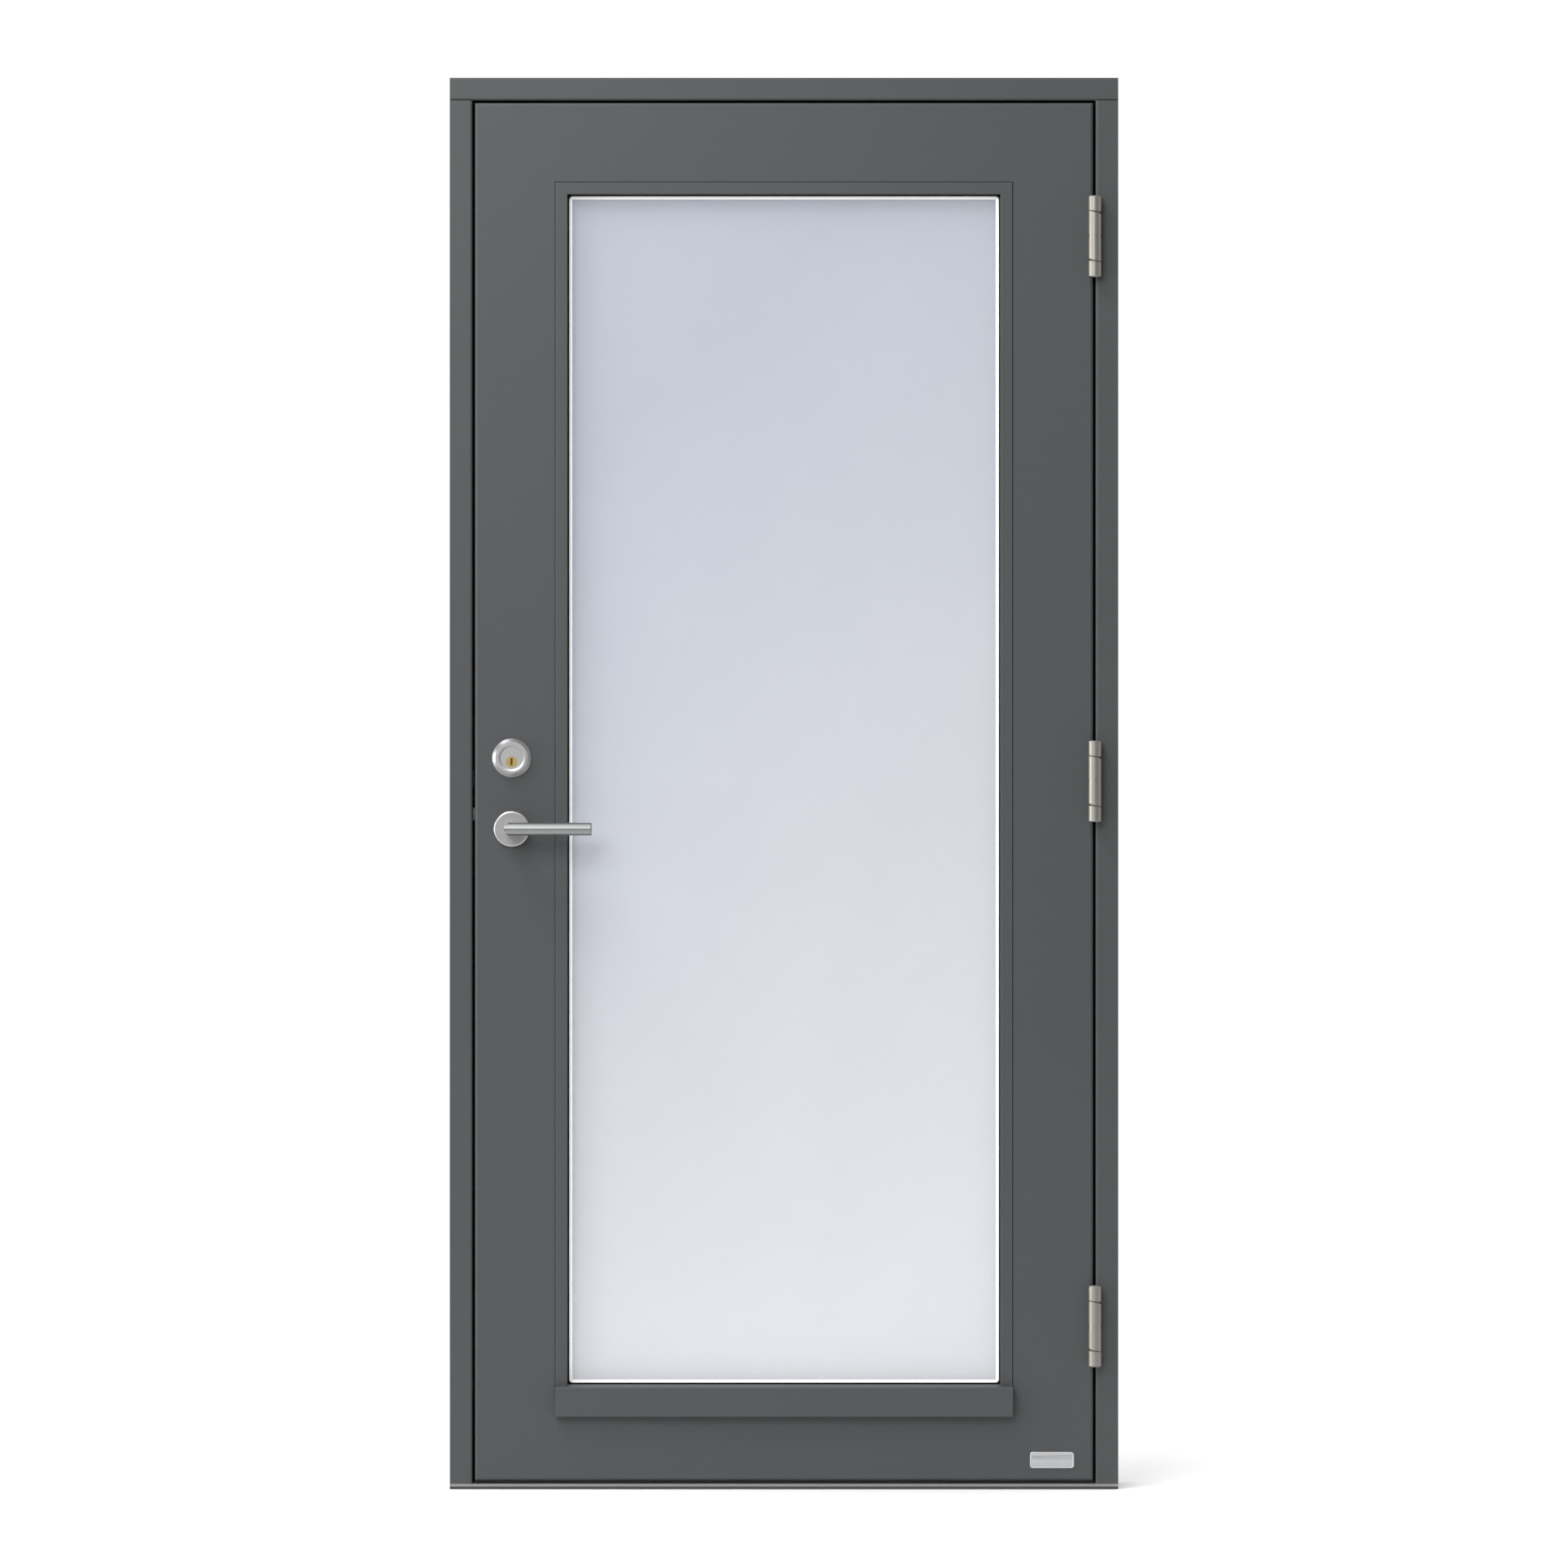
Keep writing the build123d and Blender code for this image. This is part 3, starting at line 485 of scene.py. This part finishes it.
FINISHES: dict[str, Finish | PaneFinish] = {
    "frame_paint": Finish("satin_paint_frame", PAINT, PAINT_LIGHT, 0.46, Grain.SPRAYED, specular=0.35),
    "leaf_paint": Finish("satin_paint_leaf", PAINT, PAINT_LIGHT, 0.46, Grain.SPRAYED, specular=0.35),
    "leaf_timber": Finish(
        "painted_edge", PAINT, PAINT_LIGHT, 0.52,
        Grain.BRUSHED, specular=0.3, fine=300.0,
    ),
    "threshold_metal": Finish(
        "anodised_plate", shade(134, 134, 136), shade(146, 146, 147), 0.4,
        Grain.BRUSHED, metallic=0.85, fine=1500.0,
    ),
    "threshold_dark": Finish(
        "dark_composite", shade(38, 38, 36), shade(48, 48, 45), 0.62,
        Grain.MOULDED, fine=350.0,
    ),
    "seal_rubber": Finish(
        "seal_rubber", shade(22, 22, 22), shade(30, 30, 30), 0.7,
        Grain.MOULDED, specular=0.3,
    ),
    "gasket_rubber": Finish(
        "gasket_rubber", shade(8, 8, 8), shade(14, 14, 14), 0.66,
        Grain.MOULDED, specular=0.15,
    ),
    # Glass with a painted reflection of the sky in its colour
    "clear_glass": PaneFinish("glass_painted_sky_outer", 0.5),
    "spacer_bar": Finish("spacer_light", shade(238, 240, 243), shade(246, 247, 249), 0.4, Grain.SATIN),
    "edge_seal": Finish(
        "edge_sealant", shade(16, 16, 17), shade(22, 22, 22), 0.6,
        Grain.MOULDED, specular=0.3,
    ),
    "block_plastic": Finish("setting_block", shade(60, 84, 110), shade(66, 92, 120), 0.5, Grain.MOULDED),
    "hinge_steel": Finish(
        "satin_nickel", shade(132, 129, 124), shade(144, 141, 136), 0.45,
        Grain.TURNED, metallic=0.92, fine=2600.0,
    ),
    "bearing_steel": Finish(
        "turned_steel", shade(132, 130, 125), shade(144, 142, 137), 0.4,
        Grain.TURNED, metallic=0.95, fine=2600.0,
    ),
    "screw_steel": Finish(
        "zinc_screws", shade(178, 180, 182), shade(196, 197, 198), 0.33,
        Grain.SATIN, metallic=0.95, fine=1200.0,
    ),
    "lock_steel": Finish(
        "satin_lock_steel", shade(180, 180, 180), shade(192, 192, 193), 0.34,
        Grain.TURNED, metallic=0.95, fine=1500.0,
    ),
    "lever_steel": Finish(
        "satin_stainless", shade(130, 131, 131), shade(142, 143, 143), 0.38,
        Grain.BRUSHED, metallic=0.95, fine=2200.0,
    ),
    "rose_chrome": Finish(
        "satin_chrome", shade(172, 172, 173), shade(184, 184, 185), 0.32,
        Grain.FACED, metallic=0.95, fine=1800.0,
    ),
    "ring_chrome": Finish(
        "bright_chrome", shade(172, 172, 173), shade(184, 184, 185), 0.36,
        Grain.FACED, metallic=1.0, fine=1600.0,
    ),
    "plug_brass": Finish(
        "satin_brass", shade(196, 170, 104), shade(212, 188, 124), 0.3,
        Grain.SATIN, metallic=1.0, fine=1400.0,
    ),
    # Its two colours lie far apart: the coarse bands along X that mix them are painted reflections of
    # polished chrome, over the plate's own tone
    "plate_chrome": Finish(
        "plate_chrome", shade(140, 141, 143), shade(198, 199, 201), 0.2,
        Grain.BRUSHED, metallic=1.0, fine=75.0, relief=0.0008,
    ),
}
# Painted shade: dark colour for the thin crosses that stand for the shaded recesses in the screw heads
RECESS_PAINTED_SHADE = Finish("recess_shadow", shade(26, 26, 27), shade(34, 34, 35), 0.5, Grain.SATIN, metallic=0.6)
# The other panes carry the same painted sky reflection, each with its own clearness
PANES: dict[str, PaneFinish] = {
    "middle_pane": PaneFinish("glass_painted_sky_middle", 0.7),
    "inner_pane": PaneFinish("glass_painted_sky_inner", 0.2),
}


class Dresser:
    """Builds each finish once and gives it to nodes and pieces."""

    def __init__(self) -> None:
        """Start with no material made."""
        self.made: dict[str, bpy.types.Material] = {}

    def material(self, finish: Finish | PaneFinish) -> bpy.types.Material:
        """The material of a finish, made at its first use.

        Args:
            finish: The finish.

        Returns:
            Its material.
        """
        if finish.label not in self.made:
            self.made[finish.label] = finish.build()
        return self.made[finish.label]

    def dress(self, piece: bpy.types.Object, finish: Finish | PaneFinish) -> None:
        """Put one finish on all of a piece's slots.

        Args:
            piece: The node or piece.
            finish: The finish that it gets.
        """
        slots = piece.data.materials
        if not slots:
            slots.append(None)
        for index in range(len(slots)):
            slots[index] = self.material(finish)

    def dress_nodes(self) -> None:
        """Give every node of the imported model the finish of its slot."""
        for row in frame["record"]["subparts"]:
            finish = PANES.get(row["node"], FINISHES[row["material_slot"]])
            self.dress(frame["nodes"][row["node"]], finish)
            log.info("%s: %s", row["node"], finish.label)


def hang(piece: bpy.types.Object, body: str) -> bpy.types.Object:
    """Make a finished piece move with a body.

    Args:
        piece: The piece, at rest in its place.
        body: The body's name.

    Returns:
        The piece.
    """
    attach(piece, body)
    log.info("%s rides on %s, %d faces", piece.name, body, len(piece.data.polygons))
    return piece


def mesh_piece(name: str, mesh: bpy.types.Mesh) -> bpy.types.Object:
    """Put a mesh into the scene as an object at the origin.

    Args:
        name: The object's name.
        mesh: Its mesh, with its place in it.

    Returns:
        The object.
    """
    piece = bpy.data.objects.new(name, mesh)
    bpy.context.scene.collection.objects.link(piece)
    return piece


class Pattern(Tree):
    """A Geometry Nodes tree whose named inputs are its sizes."""

    def __init__(self, name: str, inputs: dict[str, tuple[str, Feed]]) -> None:
        """Make the tree.

        Args:
            name: The tree's name.
            inputs: Socket type and value by input name.
        """
        group = bpy.data.node_groups.new(name, "GeometryNodeTree")
        super().__init__(group)
        self.values: dict[str, Feed] = {}
        group.interface.new_socket("Geometry", in_out="INPUT", socket_type="NodeSocketGeometry")
        for label, (kind, value) in inputs.items():
            made = group.interface.new_socket(label, in_out="INPUT", socket_type=kind)
            self.values[made.identifier] = value
        group.interface.new_socket("Geometry", in_out="OUTPUT", socket_type="NodeSocketGeometry")
        self.start = self.add("NodeGroupInput")
        self.name = name

    def given(self, label: str) -> Number:
        """One named input."""
        return self.number(self.start, self.start.outputs.find(label))

    def triple(self, x: Feed, y: Feed, z: Feed) -> bpy.types.NodeSocket:
        """A vector from three numbers."""
        return self.add("ShaderNodeCombineXYZ", None, {0: x, 1: y, 2: z}).outputs[0]

    def finish(self, geometry: bpy.types.NodeSocket) -> None:
        """End the tree in Realize Instances and Set Material.

        Args:
            geometry: What the tree has made.
        """
        real = self.add("GeometryNodeRealizeInstances", None, {"Geometry": geometry})
        feeds = {"Geometry": real.outputs[0], "Material": self.given("Material")}
        painted = self.add("GeometryNodeSetMaterial", None, feeds)
        self.add("NodeGroupOutput", None, {0: painted.outputs[0]})

    def piece(self, name: str, mesh: bpy.types.Mesh) -> bpy.types.Object:
        """Run the tree on a mesh and keep the result as a plain mesh.

        Args:
            name: The new piece's name.
            mesh: What the tree starts from.

        Returns:
            The piece, without a modifier.
        """
        source = mesh_piece(name, mesh)
        modifier = source.modifiers.new(self.name, "NODES")
        modifier.node_group = self.tree
        for identifier, value in self.values.items():
            modifier[identifier] = value
        bpy.context.view_layer.update()
        seen = source.evaluated_get(bpy.context.evaluated_depsgraph_get())
        result = bpy.data.meshes.new_from_object(seen)
        source.modifiers.clear()
        source.data = result
        return source


def points_mesh(name: str, points: list[Point]) -> bpy.types.Mesh:
    """A mesh of loose points.

    Args:
        name: The mesh's name.
        points: Their places.

    Returns:
        The mesh.
    """
    mesh = bpy.data.meshes.new(name)
    mesh.from_pydata(points, [], [])
    return mesh


@dataclass
class ScrewRecessShade:
    """Dark crosses of painted shade on the heads of all screws, whose axes lie along X: thin sheets that
    stand for the shade in the cross recesses.
    """

    dresser: Dresser
    arm: float = 0.0042
    width: float = 0.0009
    depth: float = 0.0001
    plate_head_radius: float = 0.0038
    hinge_spacing: float = 0.026
    seed: int = 7

    def _tree(self, material: bpy.types.Material) -> Pattern:
        """The tree that sets one dark cross of painted shade on each point, each turned differently.

        Args:
            material: What the crosses are made of.

        Returns:
            The tree.
        """
        inputs = {
            "Arm": ("NodeSocketFloat", self.arm),
            "Width": ("NodeSocketFloat", self.width),
            "Depth": ("NodeSocketFloat", self.depth),
            "Seed": ("NodeSocketInt", self.seed),
            "Material": ("NodeSocketMaterial", material),
        }
        tree = Pattern("cross_recess_shade", inputs)
        arm, width, depth = (tree.given(label) for label in ("Arm", "Width", "Depth"))
        upright = tree.add("GeometryNodeMeshCube", None, {"Size": tree.triple(depth, width, arm)})
        level = tree.add("GeometryNodeMeshCube", None, {"Size": tree.triple(depth, arm, width)})
        cross = tree.add("GeometryNodeJoinGeometry", None, {0: upright.outputs[0]})
        tree.feed(cross.inputs[0], level.outputs[0])
        turn = tree.add(
            "FunctionNodeRandomValue",
            {"data_type": "FLOAT"},
            {"Min_001": 0.0, "Max_001": math.pi / 2, "Seed": tree.given("Seed")},
        )
        angle = tree.triple(tree.number(turn, "Value_001"), 0.0, 0.0)
        feeds = {"Points": tree.given("Geometry"), "Instance": cross.outputs[0], "Rotation": angle}
        placed = tree.add("GeometryNodeInstanceOnPoints", None, feeds)
        tree.finish(placed.outputs[0])
        return tree

    def _plate_spots(self, node: str) -> list[Point]:
        """Places of the two screws of a lock plate.

        Args:
            node: The node that holds both screws.

        Returns:
            The middles of their heads.
        """
        low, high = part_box(node)
        head = high.x if abs(high.x) < abs(low.x) else low.x
        middle = (low.y + high.y) / 2
        heights = (low.z + self.plate_head_radius, high.z - self.plate_head_radius)
        return [(head, middle, height) for height in heights]

    def _hinge_spots(self, side: str) -> list[Point]:
        """Places of the screws in the hinge plates of one side.

        Args:
            side: "frame" or "leaf".

        Returns:
            The middles of their heads, three to a hinge.
        """
        low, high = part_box(f"{side}_hinge_screws")
        head = low.x if side == "frame" else high.x
        spots = []
        for place in ("bottom", "middle", "top"):
            halves = [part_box(f"{body}_hinge_{place}") for body in ("frame", "leaf")]
            middle = (min(half[0].z for half in halves) + max(half[1].z for half in halves)) / 2
            for step in (-1, 0, 1):
                spots.append((head, (low.y + high.y) / 2, middle + step * self.hinge_spacing))
        return spots

    def build(self) -> None:
        """Make the painted-shade crosses of both bodies."""
        sets = {
            "frame": self._hinge_spots("frame") + self._plate_spots("strike_screws"),
            "leaf": self._hinge_spots("leaf") + self._plate_spots("face_plate_screws"),
        }
        material = self.dresser.material(RECESS_PAINTED_SHADE)
        for body, spots in sets.items():
            points = points_mesh(f"{body}_recess_points", spots)
            piece = self._tree(material).piece(f"{body}_screw_recess_shade", points)
            hang(piece, body)


@dataclass
class BeadPins:
    """Small pins that hold the inner glazing beads, in a row round the glass."""

    dresser: Dresser
    radius: float = 0.0021
    proud: float = 0.0003
    spacing: float = 0.2
    line_inset: float = 0.0085
    sides: int = 16

    def _tree(self, material: bpy.types.Material, outer: tuple[Vector, Vector]) -> Pattern:
        """The tree that walks a rectangle and sets a pin head at even steps.

        Args:
            material: What the pins are made of.
            outer: Lowest and highest corner of the inner beads together.

        Returns:
            The tree.
        """
        low, high = outer
        inputs = {
            "Wide": ("NodeSocketFloat", high.x - low.x - 2 * self.line_inset),
            "Tall": ("NodeSocketFloat", high.z - low.z - 2 * self.line_inset),
            "Middle": ("NodeSocketFloat", (high.z + low.z) / 2),
            "Depth": ("NodeSocketFloat", high.y),
            "Spacing": ("NodeSocketFloat", self.spacing),
            "Radius": ("NodeSocketFloat", self.radius),
            "Proud": ("NodeSocketFloat", self.proud),
            "Material": ("NodeSocketMaterial", material),
        }
        tree = Pattern("bead_pins", inputs)
        path = tree.add(
            "GeometryNodeCurvePrimitiveQuadrilateral",
            {"mode": "RECTANGLE"},
            {"Width": tree.given("Wide"), "Height": tree.given("Tall")},
        )
        stood = tree.add(
            "GeometryNodeTransform",
            None,
            {
                "Geometry": path.outputs[0],
                "Rotation": (math.pi / 2, 0.0, 0.0),
                "Translation": tree.triple(0.0, tree.given("Depth"), tree.given("Middle")),
            },
        )
        even = tree.add(
            "GeometryNodeResampleCurve",
            {"mode": "LENGTH"},
            {"Curve": stood.outputs[0], "Length": tree.given("Spacing")},
        )
        head = tree.add(
            "GeometryNodeMeshCylinder",
            None,
            {"Vertices": self.sides, "Radius": tree.given("Radius"), "Depth": tree.given("Proud") * 2.0},
        )
        feeds = {"Points": even.outputs[0], "Instance": head.outputs[0], "Rotation": (math.pi / 2, 0.0, 0.0)}
        placed = tree.add("GeometryNodeInstanceOnPoints", None, feeds)
        tree.finish(placed.outputs[0])
        return tree

    def build(self) -> None:
        """Make the pins of the inner beads."""
        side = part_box("inner_bead_lock_side")
        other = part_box("inner_bead_hinge_side")
        outer = (side[0], Vector((other[1].x, side[1].y, side[1].z)))
        tree = self._tree(self.dresser.material(FINISHES["leaf_paint"]), outer)
        piece = tree.piece("inner_bead_pins", points_mesh("pin_seed", []))
        hang(piece, "leaf")


@dataclass
class ThresholdRibs:
    """Low ribs along the metal plate of the threshold, for grip."""

    dresser: Dresser
    pitch: float = 0.0055
    width: float = 0.0016
    height: float = 0.0006
    margin: float = 0.0165

    def build(self) -> None:
        """Make the ribs between the plate's slope and the stop."""
        low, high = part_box("threshold_plate")
        count = int((high.y - low.y - 2 * self.margin) / self.pitch) + 1
        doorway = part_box("outer_skin")
        inputs = {
            "Count": ("NodeSocketInt", count),
            "Pitch": ("NodeSocketFloat", self.pitch),
            "Long": ("NodeSocketFloat", doorway[1].x - doorway[0].x),
            "Wide": ("NodeSocketFloat", self.width),
            "Tall": ("NodeSocketFloat", 2 * self.height),
            "Start": ("NodeSocketFloat", low.y + self.margin),
            "Level": ("NodeSocketFloat", high.z),
            "Material": ("NodeSocketMaterial", self.dresser.material(FINISHES["threshold_metal"])),
        }
        tree = Pattern("threshold_ribs", inputs)
        line = tree.add(
            "GeometryNodeMeshLine",
            {"mode": "OFFSET"},
            {
                "Count": tree.given("Count"),
                "Start Location": tree.triple(0.0, tree.given("Start"), tree.given("Level")),
                "Offset": tree.triple(0.0, tree.given("Pitch"), 0.0),
            },
        )
        size = tree.triple(tree.given("Long"), tree.given("Wide"), tree.given("Tall"))
        bar = tree.add("GeometryNodeMeshCube", None, {"Size": size})
        feeds = {"Points": line.outputs[0], "Instance": bar.outputs[0]}
        placed = tree.add("GeometryNodeInstanceOnPoints", None, feeds)
        tree.finish(placed.outputs[0])
        piece = tree.piece("threshold_ribs", points_mesh("rib_seed", []))
        hang(piece, "frame")


@dataclass
class FootPlateRim:
    """The bevelled rim round the bare plate near the foot of the leaf."""

    dresser: Dresser
    rim: float = 0.0026
    proud: float = 0.0004
    bevel: float = 0.0007
    corner: float = 0.0045
    least_corner: float = 0.0004
    steps: int = 8

    def _outline(self, low: Vector, high: Vector, inset: float) -> list[tuple[float, float]]:
        """Corners of a rounded rectangle, anticlockwise seen from outside.

        Args:
            low: The plate's lowest corner.
            high: The plate's highest corner.
            inset: Distance in from the plate's edge.

        Returns:
            Points as x and z.
        """
        radius = max(self.corner - inset, self.least_corner)
        centres = (
            (high.x - inset - radius, high.z - inset - radius, 0),
            (low.x + inset + radius, high.z - inset - radius, 1),
            (low.x + inset + radius, low.z + inset + radius, 2),
            (high.x - inset - radius, low.z + inset + radius, 3),
        )
        points = []
        for x, z, quarter in centres:
            for step in range(self.steps + 1):
                angle = (quarter + step / self.steps) * math.pi / 2
                points.append((x + radius * math.cos(angle), z + radius * math.sin(angle)))
        return points

    def build(self) -> None:
        """Make the rim on the plate's face."""
        low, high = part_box("foot_plate")
        form = bmesh.new()
        rows = []
        crest = ((self.bevel, self.proud), (self.rim - self.bevel, self.proud))
        sections = ((0.0, 0.0), *crest, (self.rim, 0.0))
        for inset, rise in sections:
            outline = self._outline(low, high, inset)
            rows.append([form.verts.new((x, low.y - rise, z)) for x, z in outline])
        count = len(rows[0])
        for outer, inner in zip(rows, rows[1:] + rows[:1]):
            for index in range(count):
                after = (index + 1) % count
                form.faces.new((outer[index], outer[after], inner[after], inner[index]))
        bmesh.ops.recalc_face_normals(form, faces=form.faces)
        mesh = bpy.data.meshes.new("foot_plate_rim")
        form.to_mesh(mesh)
        form.free()
        piece = mesh_piece("foot_plate_rim", mesh)
        self.dresser.dress(piece, FINISHES["lock_steel"])
        hang(piece, "leaf")


@dataclass(frozen=True)
class Lamp:
    """One rectangular lamp, aimed at the middle of the door."""

    name: str
    spot: Point
    size: tuple[float, float]
    power: float
    target: Point = (0.0, 0.0, 1.05)

    def build(self) -> None:
        """Add the lamp, which the camera doesn't see."""
        data = bpy.data.lights.new(self.name, "AREA")
        data.shape = "RECTANGLE"
        data.size, data.size_y = self.size
        data.energy = self.power
        lamp = bpy.data.objects.new(self.name, data)
        lamp.visible_camera = False
        lamp.location = self.spot
        aim = Vector(self.target) - Vector(self.spot)
        lamp.rotation_euler = aim.to_track_quat("-Z", "Y").to_euler()
        bpy.context.scene.collection.objects.link(lamp)


@dataclass
class Studio:
    """Floor, light and the camera at the photograph's angle."""

    eye: Point = (0.0, -10.0525, 1.044)
    lens: float = 155.04
    sensor: float = 36.0
    view_reach: float = 200.0
    floor_radius: float = 6.0
    floor_drop: float = 0.0005
    floor_sides: int = 96
    floor_fade: float = 0.85
    floor_falloff: float = 1.5
    floor_roughness: float = 0.7
    floor_patches: float = 1.5
    floor_tints: tuple[Colour, Colour] = ((0.8, 0.8, 0.8), (0.82, 0.82, 0.82))
    world_light: float = 1.02
    front_dimming: float = 0.42
    side_dimming: float = 0.5
    side_start: float = 0.55
    side_by_right: float = 0.5
    side_by_height: float = 0.6
    lamps: tuple[Lamp, ...] = (
        Lamp("key_light", (-2.4, -6.3, 4.4), (3.6, 3.6), 340.0),
        Lamp("edge_light", (-5.5, -0.9, 1.3), (2.4, 3.0), 210.0),
        Lamp("top_light", (-2.4, -1.7, 5.6), (2.6, 1.4), 190.0),
        Lamp("back_light", (2.6, 5.2, 4.2), (2.5, 2.5), 130.0),
    )

    def _floor(self) -> None:
        """Make the pale floor, which fades out into the pale surroundings."""
        form = bmesh.new()
        bmesh.ops.create_circle(form, cap_ends=True, segments=self.floor_sides, radius=self.floor_radius)
        bmesh.ops.translate(form, verts=form.verts, vec=(0.0, 0.0, -self.floor_drop))
        mesh = bpy.data.meshes.new("floor")
        form.to_mesh(mesh)
        form.free()
        floor = mesh_piece("floor", mesh)
        tree = MaterialTree("pale_floor")
        flat = tree.stretched((1.0, 1.0, 0.0))
        away = tree.number(tree.add("ShaderNodeVectorMath", {"operation": "LENGTH"}, {0: flat}), "Value")
        fade = ((self.floor_radius - away) / (self.floor_radius * self.floor_fade)).held()
        feeds: dict[str, Feed] = {
            "Base Color": tree.blend(tree.noise(tree.place, self.floor_patches), *self.floor_tints),
            "Roughness": self.floor_roughness,
            "Alpha": fade ** self.floor_falloff,
        }
        mesh.materials.append(tree.close(feeds))

    def _camera(self) -> None:
        """Add the camera, level and square to the door."""
        data = bpy.data.cameras.new("camera")
        data.sensor_width = self.sensor
        data.lens = self.lens
        data.clip_end = self.view_reach
        camera = bpy.data.objects.new("camera", data)
        camera.location = self.eye
        camera.rotation_euler = (math.pi / 2, 0.0, 0.0)
        bpy.context.scene.collection.objects.link(camera)
        bpy.context.scene.camera = camera

    def _world(self) -> None:
        """Light the surroundings, white behind the door and a little darker in front, low on the right."""
        world = bpy.data.worlds.new("studio")
        world.use_nodes = True
        tree = Tree(world.node_tree)
        way = tree.add("ShaderNodeTexCoord").outputs["Generated"]
        parts = tree.add("ShaderNodeSeparateXYZ", None, {0: way})
        right, ahead, above = (tree.number(parts, letter) for letter in "XYZ")
        front = (0.0 - ahead).most(0.0)
        side = (self.side_start + right * self.side_by_right - above * self.side_by_height).held()
        dimming = front * (side * self.side_dimming + self.front_dimming)
        feeds = {"Color": (1.0, 1.0, 1.0, 1.0), "Strength": self.world_light * (1.0 - dimming)}
        surround = tree.add("ShaderNodeBackground", None, feeds)
        tree.add("ShaderNodeOutputWorld", None, {0: surround.outputs[0]})
        bpy.context.scene.world = world
        # The usual view transform turns the white background grey
        bpy.context.scene.view_settings.view_transform = "Standard"

    def build(self) -> None:
        """Make the whole studio."""
        self._camera()
        self._world()
        self._floor()
        for lamp in self.lamps:
            lamp.build()
        log.info("studio: camera at %s, %d lamps", self.eye, len(self.lamps))


def main() -> None:
    """Build the studio, dress the nodes and add the small pieces."""
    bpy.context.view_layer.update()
    Studio().build()
    dresser = Dresser()
    dresser.dress_nodes()
    ScrewRecessShade(dresser).build()
    BeadPins(dresser).build()
    ThresholdRibs(dresser).build()
    FootPlateRim(dresser).build()


if __name__ == "__main__":
    main()
